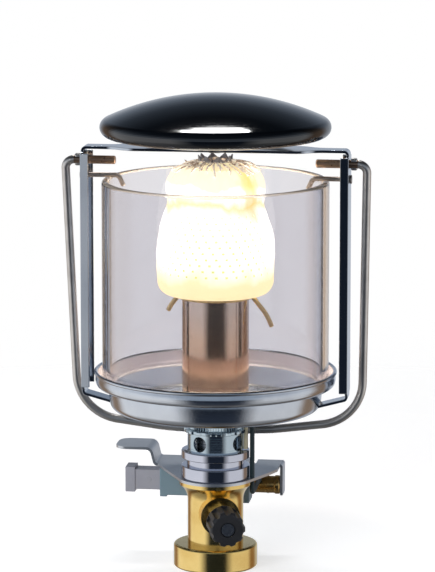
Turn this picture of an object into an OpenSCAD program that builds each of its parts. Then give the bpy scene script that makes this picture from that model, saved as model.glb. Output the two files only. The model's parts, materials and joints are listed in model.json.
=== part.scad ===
/* [Lid] */
// Outer radius of the enamelled lid
lid_r = 34; // [28:0.5:41]
// Radius of the lid's domed top
lid_dome_r = 77; // [60:0.5:90]
// Radius of the lid's rounded rim
lid_rim_r = 2.7; // [2:0.1:4]
// Radius of the lid's shallow underside
lid_under_r = 178; // [150:1:220]
// Sheet thickness of the lid and its heat shield
lid_t = 0.7; // [0.5:0.1:1]
// Radius of the opening in the lid's turned-in underside
lid_mouth_r = 24; // [18:0.5:27]
// Radius of the stud that carries the lid
stud_r = 1.5; // [1:0.1:2]

/* [Glass] */
// Outer radius of the glass globe
glass_r = 33.5; // [27:0.5:40]
// Wall of the glass
glass_wall = 2.2; // [1.5:0.1:3]
// Height of the glass
glass_h = 60.7; // [50:0.1:75]
// Wire radius of the two clips that hold the glass down
clip_wire_r = 0.72; // [0.5:0.01:0.9]
// How far each clip hooks down inside the glass
clip_drop = 2.6; // [1.5:0.1:4]

/* [Frame] */
// Distance from the tray's upper wall to the outer face of each upright
upright_gap = 4.1; // [4:0.1:8]
// Width of each channel-shaped upright
upright_w = 9; // [7:0.1:11]
// Depth of the channel's side flanges
flange_d = 2.3; // [1.6:0.1:3]
// Sheet thickness of the frame
frame_t = 0.8; // [0.6:0.1:1.2]
// Width of the strap at its narrow ends and of the two feet
strap_w = 5.6; // [4:0.1:7]
// Width of the strap's broad middle
strap_mid_w = 12; // [8:0.5:16]
// Half the length of the strap's broad middle
strap_mid_x = 27; // [20:0.5:32]
// Outer bend radius at the frame's corners
frame_bend_r = 1.5; // [1.3:0.1:4]
// Height of the strap's top above the bail's pivot
strap_rise = 4.3; // [3.5:0.1:6]
// Slope of the feet
foot_slope = 15; // [5:1:20]

/* [Bail] */
// Radius of the bail's wire
bail_wire_r = 1.25; // [1:0.05:1.5]
// Distance from an upright's outer face to the middle of the bail's leg at the pivot
bail_gap = 5; // [4.5:0.1:8]
// Least gap between the swinging arch and the tray's lower edge
bail_clear = 1.6; // [0.5:0.1:3]
// How far each leg leans in on its way down
bail_taper = 1.4; // [0:0.1:2]
// Bend radius where a leg meets its pivot pin
bail_top_bend = 2.6; // [2:0.1:3.5]
// Bend radius where a leg meets the arch
bail_low_bend = 14; // [6:0.5:16]
// Slope of the arch beside its low bend
bail_arch_slope = 10; // [6:1:15]
// How far each pivot pin reaches in from its upright's outer face
pin_reach = 10; // [6:0.5:12]
// Height of the pivot above the top of the glass
pivot_rise = 5.3; // [4.5:0.1:7]

/* [Tray] */
// Play between the globe and the tray's upper wall
glass_play = 1.4; // [0.8:0.1:3]
// How far the tray's ledge reaches in under the globe
ledge_w = 2; // [1.5:0.1:4]
// Height of the lower wall
tray_low_h = 7.2; // [5:0.1:9]
// Height of the upper wall
tray_rim_h = 4.1; // [3:0.1:6]
// Sheet thickness of the tray
tray_t = 0.6; // [0.4:0.1:1]
// Radius of the rolled bead on the rim
tray_bead_r = 0.6; // [0.4:0.05:0.9]

/* [Burner] */
// Outer radius of the burner tube
tube_r = 9.9; // [8:0.1:11.5]
// Wall of the burner tube
tube_wall = 0.5; // [0.4:0.05:0.8]
// Length of the burner tube
tube_h = 35.5; // [28:0.5:42]
// Thickness of the perforated burner cap
cap_h = 2.4; // [2:0.1:4]
// Count of holes in the cap's outer ring
cap_holes = 12; // [8:1:16]
// Wire radius of the spring clip under the mantle
mantle_clip_wire_r = 0.7; // [0.5:0.05:0.9]

/* [Mantle] */
// Largest radius of the mantle
mantle_r = 17.2; // [15:0.1:20]
// Height of the mantle
mantle_h = 38.6; // [32:0.1:44]
// Radius of the mantle's gathered top
mantle_top_r = 6.8; // [5:0.1:8]
// Wall of the mantle
mantle_wall = 0.9; // [0.6:0.1:1.5]
// Count of teeth in the crown that spreads the mantle
crown_teeth = 8; // [6:1:10]
// Height of a crown tooth
crown_tooth_h = 7; // [5:0.5:8]

/* [Collar] */
// Step from the air tube out to the coupling's rings
ring_step = 1.85; // [1.2:0.05:2.5]
// Step from the air tube out to the coupling's groove
groove_step = 0.3; // [0:0.1:0.8]
// Height of the lower ring
low_ring_h = 3.8; // [3.5:0.1:6]
// Height of the groove
groove_h = 2.2; // [1.5:0.1:3]
// Height of the upper ring
top_ring_h = 2.4; // [1.8:0.1:4]
// Step from the burner tube in to the air tube
air_step = 1.6; // [1.5:0.05:1.8]
// Height of the air tube below its flange
air_h = 5.5; // [5:0.1:8]
// Bore radius of the air tube
air_bore_r = 4.6; // [3.5:0.1:4.8]
// Radius of the air holes
air_hole_r = 2.3; // [1.5:0.1:2.4]
// Count of air holes
air_holes = 4; // [3:1:6]
// Turn of the first air hole from straight right
air_hole_turn = -28; // [-90:1:0]
// Step from the air tube out to its flange
air_flange_step = 1; // [0.8:0.1:1.3]
// Height of the lock nut under the tray
nut_h = 5.8; // [4:0.1:7]
// Wall of the air tube's threaded neck and spigot
neck_wall = 1.4; // [1:0.1:1.8]

/* [Bracket] */
// Thickness of the bracket plate
plate_t = 0.8; // [0.8:0.1:1.5]
// Margin of the plate round the coupling
plate_rim = 1.05; // [0.95:0.05:2]
// Margin of the plate behind the igniter
plate_margin = 2.7; // [1:0.1:5]
// Distance from the axis to the plate's left end
plate_left = 20.2; // [20:0.1:24]
// Length of the igniter's brass barrel, up to the lug
barrel_l = 9.05; // [7:0.05:12]
// Width of the finger tab
tab_w = 12.5; // [9:0.1:15]
// Length of the finger tab
tab_l = 11; // [8:0.1:14]
// Height of the finger tab above the plate
tab_rise = 4.9; // [4.6:0.1:8]
// Length of the lug below the plate's top
lug_h = 9.6; // [9:0.1:12]

/* [Igniter] */
// Distance from the axis back to the igniter's middle
igniter_y = 21; // [20.5:0.1:23]
// Length of the igniter's housing
housing_l = 27.3; // [20:0.1:34]
// Height of the igniter's housing
housing_h = 9.4; // [8.4:0.1:10]
// Depth of the igniter's housing
housing_w = 8; // [7.6:0.1:9]
// Bore radius of the housing
housing_bore_r = 2.6; // [2:0.1:3]
// Size of the button across the push direction
button_h = 7.7; // [7.5:0.1:9.5]
// Thickness of the button's pad
button_t = 3; // [3:0.1:5]
// Height of the button's stem
stem_h = 6.1; // [5:0.1:7]
// Depth of the button's stem
stem_w = 5.6; // [4:0.1:6]
// How far the stem stands out of the housing
stem_out = 7.7; // [5:0.1:9]
// Travel of the button
button_travel = 3.5; // [2.5:0.1:4]
// Radius of the brass barrel behind the housing
barrel_r = 2.85; // [2:0.05:3]
// Radius of the ignition lead
lead_r = 0.7; // [0.5:0.05:0.8]
// Radius of the electrode's ceramic sleeve
ceramic_r = 0.7; // [0.5:0.05:0.75]
// Radius of the electrode wire
electrode_r = 0.25; // [0.2:0.01:0.3]

/* [Valve] */
// Height of the valve body up to the bracket plate
valve_h = 26.2; // [24:0.1:32]
// Step from the coupling's rings out to the valve body's top flange
valve_flange_step = 0.65; // [0.3:0.05:1]
// Radius of the valve body's foot
foot_r = 12.5; // [11.5:0.1:15]
// Height of the valve body's foot
foot_h = 7; // [5:0.1:8]
// Step from the valve body's top flange in to its waist
waist_step = 2.5; // [1.2:0.1:2.5]
// Radius of the boss that holds the control spindle
boss_r = 5.8; // [4.5:0.1:6]
// Reach of the boss from the axis
boss_l = 11.5; // [10:0.1:13]
// Turn of the boss from straight ahead toward the right
boss_turn = 15; // [0:1:25]
// Wall radius of the canister thread
thread_r = 5.2; // [4.5:0.05:5.5]
// Depth of the canister thread
thread_l = 9.5; // [8:0.1:10]
// Height of the control spindle's axis
spindle_z = 17.2; // [17:0.1:19]
// Radius of the control spindle
spindle_r = 1.6; // [1.2:0.05:2]
// Radius of the control knob
knob_r = 5.2; // [5:0.1:8]
// Length of the control knob
knob_l = 12; // [9:0.5:15]
// Count of grip flutes round the knob
knob_flutes = 10; // [6:1:14]

/* [Fits] */
// Running clearance of a pin or shaft
run_gap = 0.05; // [0.02:0.01:0.1]
// Clearance between pieces that are fixed together
seat_gap = 0.05; // [0.02:0.01:0.1]
// Clearance between pieces that move past each other
move_gap = 0.35; // [0.3:0.05:0.5]

/* [Hidden] */
$fn = 96;
eps = 0.01;
thin = 0.02;

// Heights of the stack, from the foot up
plate_z = valve_h + plate_t;
groove_z = plate_z + low_ring_h;
top_ring_z = groove_z + groove_h;
air_z = top_ring_z + top_ring_h;
air_flange_h = 1;
air_flange_z = air_z + air_h;
nut_z = air_flange_z + air_flange_h;
tray_z = nut_z + nut_h;
floor_z = tray_z + tray_t;
step_z = tray_z + tray_low_h;
ledge_z = step_z + tray_t;
rim_z = step_z + tray_rim_h;
glass_top = ledge_z + glass_h;
clip_z = glass_top + clip_wire_r + 2 * seat_gap;
pivot_z = glass_top + pivot_rise;
strap_z = pivot_z + strap_rise;
tube_z = floor_z;
tube_top = tube_z + tube_h;
tube_bore_r = tube_r - tube_wall;

// Radii of the stack, from the globe and the burner tube
tray_r = glass_r + glass_play + tray_t;
tray_low_r = glass_r - ledge_w;
upright_x = tray_r + upright_gap;
air_r = tube_r - air_step;
ring_r = air_r + ring_step;
groove_r = air_r + groove_step;
air_flange_r = air_r + air_flange_step;
neck_r = air_bore_r + neck_wall;
spigot_r = neck_r;
valve_flange_r = ring_r + valve_flange_step;
waist_r = valve_flange_r - waist_step;

// Lid: the rim's arc meets the dome and the underside in tangent
lid_under_z = strap_z + 0.5;
lid_under_c = lid_under_z + lid_under_r;
lid_rim_c = [lid_r - lid_rim_r,
             lid_under_c - sqrt(pow(lid_under_r - lid_rim_r, 2) - pow(lid_r - lid_rim_r, 2))];
lid_dome_c = lid_rim_c[1] - sqrt(pow(lid_dome_r - lid_rim_r, 2) - pow(lid_r - lid_rim_r, 2));
lid_dome_a = atan2(lid_rim_c[1] - lid_dome_c, lid_rim_c[0]);
lid_under_a = atan2(lid_rim_c[1] - lid_under_c, lid_rim_c[0]);
lid_nut_h = 0.6;
lid_nut_r = 2.7;
stud_head_r = 2.6;
stud_end = 0.1;

// Frame
web_x = upright_x - frame_t;
foot_tip_x = tray_low_r - 2.2;
foot_tip_z = floor_z + 0.35;
foot_corner_z = foot_tip_z + (upright_x - foot_tip_x) * tan(foot_slope);
flange_low_z = foot_corner_z + frame_bend_r + 1;
flange_top_z = strap_z - frame_bend_r - 0.6;
narrow_x = strap_mid_x + 4;

// Bail: it rests behind the air tube, and its arch passes under the tray and the tube's flange
bail_leg_x = upright_x + bail_gap;
bail_pin_end = upright_x - pin_reach;
bail_drop = norm([tray_low_r, pivot_z - tray_z]) + bail_wire_r + bail_clear;
bail_rest_y = air_r + bail_wire_r + move_gap;
bail_lean = asin(bail_rest_y / bail_drop);
bail_hole_r = bail_wire_r + run_gap;
crimp_l = 1.9;
crimp_h = 3.6;
crimp_t = 1.7;
crimp_gap = 0.3;
bail_grip = 0.5;
top_turn = 90 + bail_taper;
low_turn = 90 - bail_arch_slope - bail_taper;
pin_run = bail_leg_x - bail_top_bend - bail_pin_end;
arch_k = tan(bail_arch_slope / 2);
arch_reach = bail_leg_x - bail_top_bend * (1 - cos(bail_taper))
           + bail_low_bend * (sin(bail_arch_slope) - cos(bail_taper));
bends_drop = bail_top_bend * (1 + sin(bail_taper))
           + bail_low_bend * (cos(bail_arch_slope) - sin(bail_taper));
leg_run = (bail_drop - bends_drop - arch_k * arch_reach) / (cos(bail_taper) - arch_k * sin(bail_taper));
arch_r = (arch_reach - leg_run * sin(bail_taper)) / sin(bail_arch_slope);

// Burner and mantle
cap_z = tube_top - cap_h - 0.6;
gauze_h = 0.4;
seat_h = 4;
clip_ring_r = tube_r + mantle_clip_wire_r + 0.1;
clip_ring_z = tube_top - 1.8;
left_clip_run = 6.4;
left_clip_dip = 55;
right_clip_run = 10.6;
right_clip_dip = 58;
mantle_z = tube_top - 1.6;
mantle_mouth_r = clip_ring_r + mantle_clip_wire_r + 0.5;
mantle_top = mantle_z + mantle_h;
crown_z = mantle_top - 4.5;
crown_hub_r = 3;
crown_hub_h = 0.8;
rod_r = 0.9;
rod_pin_r = 0.7;

// Collar
stub_r = 5;
stub_top = plate_z + 4;
spigot_l = air_z - stub_top - 0.7;
neck_top = floor_z + seat_h;
jet_r = 1.5;
jet_top = air_z + 1.5;

// Bracket and igniter
plate_front_r = ring_r + plate_rim;
plate_back = igniter_y + housing_w / 2 + plate_margin;
housing_x = -plate_left + 0.9;
housing_end = housing_x + housing_l;
barrel_x = housing_end + seat_gap;
barrel_end = barrel_x + barrel_l;
plate_right = barrel_end + 2 * seat_gap + plate_t;
corner_right_y = igniter_y - 9.6;
corner_left_y = plate_back - tab_w;
right_back = plate_back - 2.8;
lug_front_y = igniter_y - barrel_r + 0.35;
notch_x = housing_end - 0.6;
notch_w = 2.4;
notch_y = igniter_y - 1.6;
housing_z = valve_h - housing_h;
axis_z = housing_z + housing_h / 2;
pocket_l = button_travel + 1.2;
stem_in = 0.8;
stem_z = axis_z - 0.3;
hammer_x = housing_x + pocket_l + 6;
hammer_l = 4.4;
housing_end_wall = 4.15;
crystal_x = hammer_x + hammer_l + seat_gap;
crystal_l = housing_end - housing_end_wall - crystal_x;
barrel_z = axis_z - 1.3;
lead_x = ring_r + lead_r + 0.15;
lead_turn_z = barrel_z + 2.1;
lead_top_z = tray_z - 1.1;
lead_bend = 1.5;
ceramic_x = air_r + ceramic_r + seat_gap;
ceramic_z = air_z + 0.3;
lead_end_run = 0.2;
lead_top_bend = lead_x - ceramic_x - ceramic_r - seat_gap - lead_end_run;
spring_wire_r = 0.25;
spring_r = 1.9;
spring_turns = 6;

// Valve
sweep_z = valve_h - 1.2;
sweep_r = 6;
waist_z = sweep_z - sqrt(pow(sweep_r, 2) - pow(sweep_r + waist_r - valve_flange_r, 2));
sweep_a = acos((waist_r + sweep_r - valve_flange_r) / sweep_r);
seal_h = 1.8;
seal_r = 4.6;
seal_bore_r = 2.6;
opener_r = 0.8;
opener_l = 3.4;
opener_z = thread_l + 0.3;
chamber_r = 2;
seal_seat_r = 2.9;
seal_seat_l = 2.6;
gland_r = 4;
gland_l = 4;
knob_gap = 0.6;
knob_start = boss_l + gland_l + knob_gap;
spindle_end = knob_start + knob_l - 3;
knob_screw_r = 0.9;

// Points along an arc about c, from angle a0 to a1
function arc(c, r, a0, a1, n = 12) =
    [for (i = [0 : n]) let (a = a0 + (a1 - a0) * i / n) [c[0] + r * cos(a), c[1] + r * sin(a)]];

function unit(v) = v / norm(v);

// Closed outline with each corner [x, y, radius] rounded by an arc
function rounded(p, n = 8) =
    [for (i = [0 : len(p) - 1])
        let (a = p[(i + len(p) - 1) % len(p)], b = p[i], c = p[(i + 1) % len(p)],
             u = unit([a[0] - b[0], a[1] - b[1]]), v = unit([c[0] - b[0], c[1] - b[1]]),
             half = acos(u * v) / 2, q = [b[0], b[1]])
        each b[2] == 0 ? [q] :
            let (m = q + unit(u + v) * b[2] / sin(half), s = q + u * b[2] / tan(half) - m,
                 e = q + v * b[2] / tan(half) - m, a0 = atan2(s[1], s[0]),
                 d = atan2(s[0] * e[1] - s[1] * e[0], s * e))
            [for (k = [0 : n]) m + b[2] * [cos(a0 + d * k / n), sin(a0 + d * k / n)]]];

module ring(r_out, r_in, h) {
    difference() {
        cylinder(r = r_out, h = h);
        translate([0, 0, -1]) cylinder(r = r_in, h = h + 2);
    }
}

// Stations [x, y, heading] of a bent wire that starts along +X: each step is [straight length,
// bend radius, bend angle to the left]
function stations(steps, at = [0, 0, 0], i = 0) =
    i == len(steps) ? [at] :
    let (l = steps[i][0], r = steps[i][1], turn = steps[i][2], h = at[2], side = sign(turn),
         from = [at[0] + l * cos(h), at[1] + l * sin(h)],
         c = from + side * r * [-sin(h), cos(h)],
         n = max(4, ceil(abs(turn) / 9)),
         bend = [for (k = [1 : n]) let (a = h + turn * k / n)
                    [c[0] + side * r * sin(a), c[1] - side * r * cos(a), a]],
         to = turn == 0 ? [from[0], from[1], h] : bend[n - 1])
    concat([at], l > 0 && turn != 0 ? [[from[0], from[1], h]] : [],
           turn == 0 ? [] : [for (k = [0 : n - 2]) bend[k]], stations(steps, to, i + 1));

// Triangles of a tube of some rings with the same count of points each, closed at both ends
function tube_faces(rings, sides) = concat(
    [for (i = [0 : rings - 2], j = [0 : sides - 1])
        let (k = i * sides, n = (j + 1) % sides)
        each [[k + j, k + n, k + sides + n], [k + j, k + sides + n, k + sides + j]]],
    [for (j = [1 : sides - 2])
        let (k = (rings - 1) * sides)
        each [[0, j + 1, j], [k, k + j, k + j + 1]]]);

// Round wire in the X and Y plane, bent as its steps say
module wire(steps, r, sides = 10) {
    line = stations(steps);
    pts = [for (q = line, j = [0 : sides - 1])
        let (b = 360 * (j + 0.5) / sides)
        [q[0] - r * cos(b) * sin(q[2]), q[1] + r * cos(b) * cos(q[2]), -r * sin(b)]];
    polyhedron(points = pts, faces = tube_faces(len(line), sides));
}

// Stands what is drawn in X and Y up, so that its Y points up
module upright_plane() {
    rotate([90, 0, 0]) children();
}

// Places what points along +X on the control spindle's axis
module on_spindle_axis() {
    translate([0, 0, spindle_z]) rotate([0, 0, boss_turn - 90]) children();
}

module along_x(r, h) {
    rotate([0, 90, 0]) cylinder(r = r, h = h);
}

// Outline of the lid's section, drawn in by the distance d
function lid_outline(d) = concat(
    [[0, lid_dome_c + lid_dome_r - d]],
    arc([0, lid_dome_c], lid_dome_r - d, 90, lid_dome_a, 24),
    arc(lid_rim_c, lid_rim_r - d, lid_dome_a, lid_under_a, 16),
    arc([0, lid_under_c], lid_under_r - d, lid_under_a, -90, 12));

module lid() {
    color([0.03, 0.04, 0.06])
        rotate_extrude()
            difference() {
                polygon(lid_outline(0));
                polygon(lid_outline(lid_t));
                translate([-1, lid_under_z - 1])
                    square([lid_mouth_r + 1, lid_rim_c[1] - lid_under_z + 1]);
            }
}

module lid_heat_shield() {
    shield_r = lid_mouth_r + 2.5;
    c = [0, lid_under_c];
    low = lid_under_r - lid_t - seat_gap;
    color([0.05, 0.06, 0.08])
        rotate_extrude()
            difference() {
                polygon(concat(arc(c, low, -90, -90 + asin(shield_r / low), 10),
                               arc(c, low - lid_t, -90 + asin(shield_r / low), -90, 10)));
                translate([-1, 0]) square([1 + stud_r + seat_gap, lid_under_c]);
            }
}

module lid_stud() {
    head_z = lid_under_z + 2 * lid_t + 3 * seat_gap;
    color([0.5, 0.52, 0.55]) {
        translate([0, 0, strap_z - frame_t - lid_nut_h - stud_end])
            cylinder(r = stud_r, h = head_z - strap_z + frame_t + lid_nut_h + stud_end + eps);
        translate([0, 0, head_z]) cylinder(r = stud_head_r, h = 1);
        translate([0, 0, strap_z + seat_gap])
            ring(stud_head_r, stud_r - eps, lid_under_z + lid_t - strap_z);
    }
}

module lid_nut() {
    color([0.6, 0.62, 0.65])
        translate([0, 0, strap_z - frame_t - lid_nut_h - seat_gap])
            difference() {
                cylinder(r = lid_nut_r, h = lid_nut_h, $fn = 6);
                translate([0, 0, -1]) cylinder(r = stud_r + seat_gap, h = lid_nut_h + 2);
            }
}

// One half of the bent strip's section, from the middle of the strap to the tip of the foot
module strip_half() {
    foot_fall = (upright_x - foot_tip_x) * tan(foot_slope);
    foot_t = frame_t / cos(foot_slope);
    in_r = frame_bend_r - frame_t;
    polygon(rounded([
        [0, strap_z, 0],
        [upright_x, strap_z, frame_bend_r],
        [upright_x, foot_corner_z, frame_bend_r],
        [foot_tip_x, foot_corner_z - foot_fall, 0],
        [foot_tip_x, foot_corner_z - foot_fall + foot_t, 0],
        [web_x, foot_corner_z + foot_t - frame_t * tan(foot_slope), in_r],
        [web_x, strap_z - frame_t, in_r],
        [0, strap_z - frame_t, 0]]));
}

module strip(w) {
    for (side = [0, 1])
        mirror([side, 0, 0])
            upright_plane() linear_extrude(height = w, center = true) strip_half();
}

module frame() {
    strap_half = strap_w / 2;
    mid_half = strap_mid_w / 2;
    wide_low = flange_low_z - 1;
    wide_h = flange_top_z + 1 - wide_low;
    color([0.75, 0.78, 0.82])
        difference() {
            union() {
                strip(strap_w);
                intersection() {
                    strip(upright_w);
                    translate([-upright_x - 1, -upright_w, wide_low])
                        cube([2 * upright_x + 2, 2 * upright_w, wide_h]);
                }
                translate([0, 0, strap_z - frame_t])
                    linear_extrude(height = frame_t)
                        polygon(rounded([
                            [narrow_x, -strap_half, 3], [strap_mid_x, -mid_half, 5],
                            [-strap_mid_x, -mid_half, 5], [-narrow_x, -strap_half, 3],
                            [-narrow_x, strap_half, 3], [-strap_mid_x, mid_half, 5],
                            [strap_mid_x, mid_half, 5], [narrow_x, strap_half, 3]]));
                for (side = [0, 1], y = [-upright_w / 2, upright_w / 2 - frame_t])
                    mirror([side, 0, 0])
                        translate([0, y + frame_t, 0])
                            upright_plane()
                                linear_extrude(height = frame_t)
                                    polygon(rounded([
                                        [upright_x - flange_d, flange_low_z, 1.5],
                                        [upright_x - flange_d, flange_top_z, 1.5],
                                        [web_x + frame_t / 2, flange_top_z + 1, 0],
                                        [web_x + frame_t / 2, wide_low, 0]]));
            }
            for (side = [0, 1])
                mirror([side, 0, 0]) {
                    translate([web_x - 1, 0, pivot_z]) along_x(bail_hole_r, frame_t + 2);
                    translate([web_x - 1, 0, clip_z]) along_x(clip_wire_r + seat_gap, frame_t + 2);
                }
            translate([0, 0, strap_z - frame_t - 1]) cylinder(r = stud_r + seat_gap, h = frame_t + 2);
        }
}

// The bail lies in a plane through its pivot and leans back behind the air tube
module bail() {
    color([0.6, 0.59, 0.57])
        translate([0, 0, pivot_z])
            rotate([bail_lean, 0, 0])
                union() {
                    upright_plane()
                        translate([bail_leg_x - bail_top_bend - bail_grip, 0, 0])
                            wire([[bail_grip, bail_top_bend, -top_turn],
                                  [leg_run, bail_low_bend, -low_turn],
                                  [0, arch_r, -2 * bail_arch_slope],
                                  [0, bail_low_bend, -low_turn],
                                  [leg_run, bail_top_bend, -top_turn],
                                  [bail_grip, 0, 0]], bail_wire_r - thin, 12);
                    for (side = [0, 1])
                        mirror([side, 0, 0]) {
                            translate([bail_pin_end, 0, 0]) along_x(bail_wire_r, pin_run);
                            translate([upright_x + crimp_gap, -crimp_t / 2, -crimp_h / 2])
                                cube([crimp_l, crimp_t, crimp_h]);
                        }
                }
}

module glass_clip() {
    head_l = 0.6;
    head_r = 1.3;
    bend = 1.5;
    run = upright_x - glass_r + glass_wall + 1.6;
    color([0.55, 0.53, 0.5])
        translate([upright_x + seat_gap, 0, clip_z])
            rotate([0, 0, 180]) {
                translate([-head_l / 2, 0, 0])
                    upright_plane() wire([[run + head_l / 2, bend, -65], [clip_drop, 0, 0]], clip_wire_r);
                translate([-head_l, 0, 0]) along_x(head_r, head_l);
            }
}

module glass_clip_left() {
    mirror([1, 0, 0]) glass_clip();
}

module glass_clip_right() {
    glass_clip();
}

module glass_globe() {
    color([0.8, 0.8, 0.85, 0.3])
        translate([0, 0, ledge_z]) ring(glass_r, glass_r - glass_wall, glass_h);
}

module tray() {
    hole_r = neck_r + seat_gap;
    slot_w = strap_w + 0.4;
    slot_h = 2.2;
    color([0.72, 0.76, 0.8])
        difference() {
            rotate_extrude() {
                polygon(rounded([
                    [hole_r, tray_z, 0], [tray_low_r, tray_z, 2.6], [tray_low_r, step_z, 0.5],
                    [tray_r, step_z, 1.6], [tray_r, rim_z, 0], [tray_r - tray_t, rim_z, 0],
                    [tray_r - tray_t, ledge_z, 1], [tray_low_r - tray_t, ledge_z, 1.1],
                    [tray_low_r - tray_t, floor_z, 2], [hole_r, floor_z, 0]]));
                translate([tray_r - tray_t / 2, rim_z]) circle(r = tray_bead_r);
            }
            for (side = [0, 1])
                mirror([side, 0, 0])
                    translate([foot_tip_x, -slot_w / 2, floor_z + 0.05])
                        cube([tray_r - foot_tip_x, slot_w, slot_h]);
            translate([ceramic_x, 0, tray_z - 1]) cylinder(r = ceramic_r + seat_gap, h = tray_t + 2);
        }
}

module burner_tube() {
    seam_turn = 45;
    seam_w = 0.3;
    seam_d = 0.15;
    bead_z = 1.8;
    color([0.62, 0.45, 0.32])
        translate([0, 0, tube_z])
            difference() {
                ring(tube_r, tube_bore_r, tube_h);
                for (a = [-90 - seam_turn, -90 + seam_turn])
                    rotate([0, 0, a])
                        translate([tube_r - seam_d, -seam_w / 2, bead_z])
                            cube([1, seam_w, tube_h]);
                translate([0, 0, bead_z]) ring(tube_r + 1, tube_r - seam_d, seam_w);
            }
}

// Nut that clamps the tray and centres the burner tube
module burner_seat() {
    color([0.7, 0.6, 0.45])
        translate([0, 0, floor_z])
            difference() {
                ring(tube_bore_r - seat_gap, neck_r + seat_gap, seat_h);
                translate([ceramic_x - 0.6, -0.6, -1]) cube([3, 1.2, seat_h + 2]);
            }
}

module burner_cap() {
    hole_r = 0.9;
    outer_ring_r = tube_bore_r - 2.8;
    ring_rs = [outer_ring_r, 0.56 * outer_ring_r];
    color([0.45, 0.38, 0.32])
        translate([0, 0, cap_z])
            difference() {
                cylinder(r = tube_bore_r - seat_gap, h = cap_h);
                translate([0, 0, -1]) cylinder(r = rod_pin_r + seat_gap, h = cap_h + 2);
                for (k = [0, 1], i = [0 : cap_holes / (k + 1) - 1])
                    rotate([0, 0, 360 * (i + 0.5) * (k + 1) / cap_holes])
                        translate([ring_rs[k], 0, -1]) cylinder(r = hole_r, h = cap_h + 2);
                translate([ceramic_x - 0.5, -0.5, -1]) cube([2, 1, cap_h + 2]);
            }
}

module gauze() {
    color([0.5, 0.42, 0.36])
        translate([0, 0, cap_z - gauze_h - seat_gap])
            difference() {
                cylinder(r = tube_bore_r - seat_gap, h = gauze_h);
                translate([ceramic_x - 0.5, -0.5, -1]) cube([2, 1, gauze_h + 2]);
                translate([0, 0, -1]) cylinder(r = rod_pin_r + seat_gap, h = gauze_h + 2);
            }
}

// Rod on the burner cap with the toothed crown that spreads the mantle's top
module mantle_support() {
    tooth_w = 2.3;
    tooth_t = 0.4;
    tooth_lean = 16;
    rod_z = cap_z + cap_h + seat_gap;
    color([0.18, 0.16, 0.15]) {
        translate([0, 0, cap_z]) cylinder(r = rod_pin_r, h = cap_h + seat_gap + eps);
        translate([0, 0, rod_z]) cylinder(r = rod_r, h = crown_z - rod_z + eps);
        translate([0, 0, crown_z]) cylinder(r = crown_hub_r, h = crown_hub_h);
        for (i = [0 : crown_teeth - 1])
            rotate([0, 0, 360 * (i + 0.5) / crown_teeth])
                translate([crown_hub_r - 0.5, 0, crown_z + crown_hub_h / 2])
                    rotate([0, tooth_lean, 0])
                        rotate([90, 0, 90])
                            linear_extrude(height = tooth_t)
                                polygon([[-tooth_w / 2, 0], [tooth_w / 2, 0], [0, crown_tooth_h]]);
    }
}

// The mantle's burnt-in shell, open round the burner tube and at its gathered top
module mantle() {
    shoulder_z = mantle_z + 0.37 * mantle_h;
    neck_z = mantle_z + 0.72 * mantle_h;
    shoulder_r = mantle_r + 0.2;
    mid_r = mantle_r - 2.8;
    w = mantle_wall;
    color([1, 0.93, 0.75])
        rotate_extrude()
            polygon(rounded([
                [mantle_mouth_r, mantle_z, 0], [mantle_r, mantle_z, 4.5], [shoulder_r, shoulder_z, 20],
                [mid_r, neck_z, 10], [mantle_top_r, mantle_top, 0], [mantle_top_r - w, mantle_top - w / 3, 0],
                [mid_r - w, neck_z - w / 3, 10], [shoulder_r - w, shoulder_z, 20],
                [mantle_r - w, mantle_z + w, 3.6], [mantle_mouth_r, mantle_z + w, 0]]));
}

// Spring wire round the tube that holds the mantle's hem, with its two ends bent out and down
module mantle_clip() {
    color([0.8, 0.6, 0.3])
        translate([0, 0, clip_ring_z]) {
            rotate_extrude() translate([clip_ring_r, 0]) circle(r = mantle_clip_wire_r);
            translate([clip_ring_r, 0, 0]) rotate([0, right_clip_dip, 0])
                along_x(mantle_clip_wire_r, right_clip_run);
            mirror([1, 0, 0])
                translate([clip_ring_r, 0, 0]) rotate([0, left_clip_dip, 0])
                    along_x(mantle_clip_wire_r, left_clip_run);
        }
}

// Mixing tube with its air holes, its flange and the threaded neck above it
module air_tube() {
    color([0.75, 0.78, 0.82])
        difference() {
            union() {
                translate([0, 0, air_z - spigot_l]) cylinder(r = spigot_r - seat_gap, h = spigot_l + eps);
                translate([0, 0, air_z]) cylinder(r = air_r, h = air_h + eps);
                translate([0, 0, air_flange_z]) cylinder(r = air_flange_r, h = air_flange_h);
                translate([0, 0, nut_z - eps]) cylinder(r = neck_r, h = neck_top - nut_z + eps);
            }
            translate([0, 0, air_z - spigot_l - 1])
                cylinder(r = air_bore_r, h = neck_top - air_z + spigot_l + 2);
            for (i = [0 : air_holes - 1])
                rotate([0, 0, air_hole_turn + 360 * i / air_holes])
                    translate([0, 0, air_z + air_h / 2 - 0.1]) along_x(air_hole_r, air_r + 1);
            translate([ceramic_x, 0, air_flange_z - 1])
                cylinder(r = ceramic_r + seat_gap, h = air_flange_h + 2);
        }
}

module lock_nut() {
    color([0.7, 0.72, 0.75])
        translate([0, 0, nut_z]) ring(air_r - 0.1, neck_r + seat_gap, nut_h);
}

// Ribbed nut that joins the air tube to the valve and clamps the bracket
module coupling() {
    color([0.78, 0.8, 0.84])
        difference() {
            union() {
                translate([0, 0, plate_z]) cylinder(r = ring_r, h = low_ring_h);
                translate([0, 0, groove_z - eps]) cylinder(r = groove_r, h = groove_h + 2 * eps);
                translate([0, 0, top_ring_z]) cylinder(r = ring_r, h = top_ring_h);
            }
            translate([0, 0, plate_z - 1]) cylinder(r = stub_r + seat_gap, h = stub_top - plate_z + 1);
            translate([0, 0, stub_top - eps]) cylinder(r = spigot_r, h = air_z - stub_top + 1);
        }
}

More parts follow.
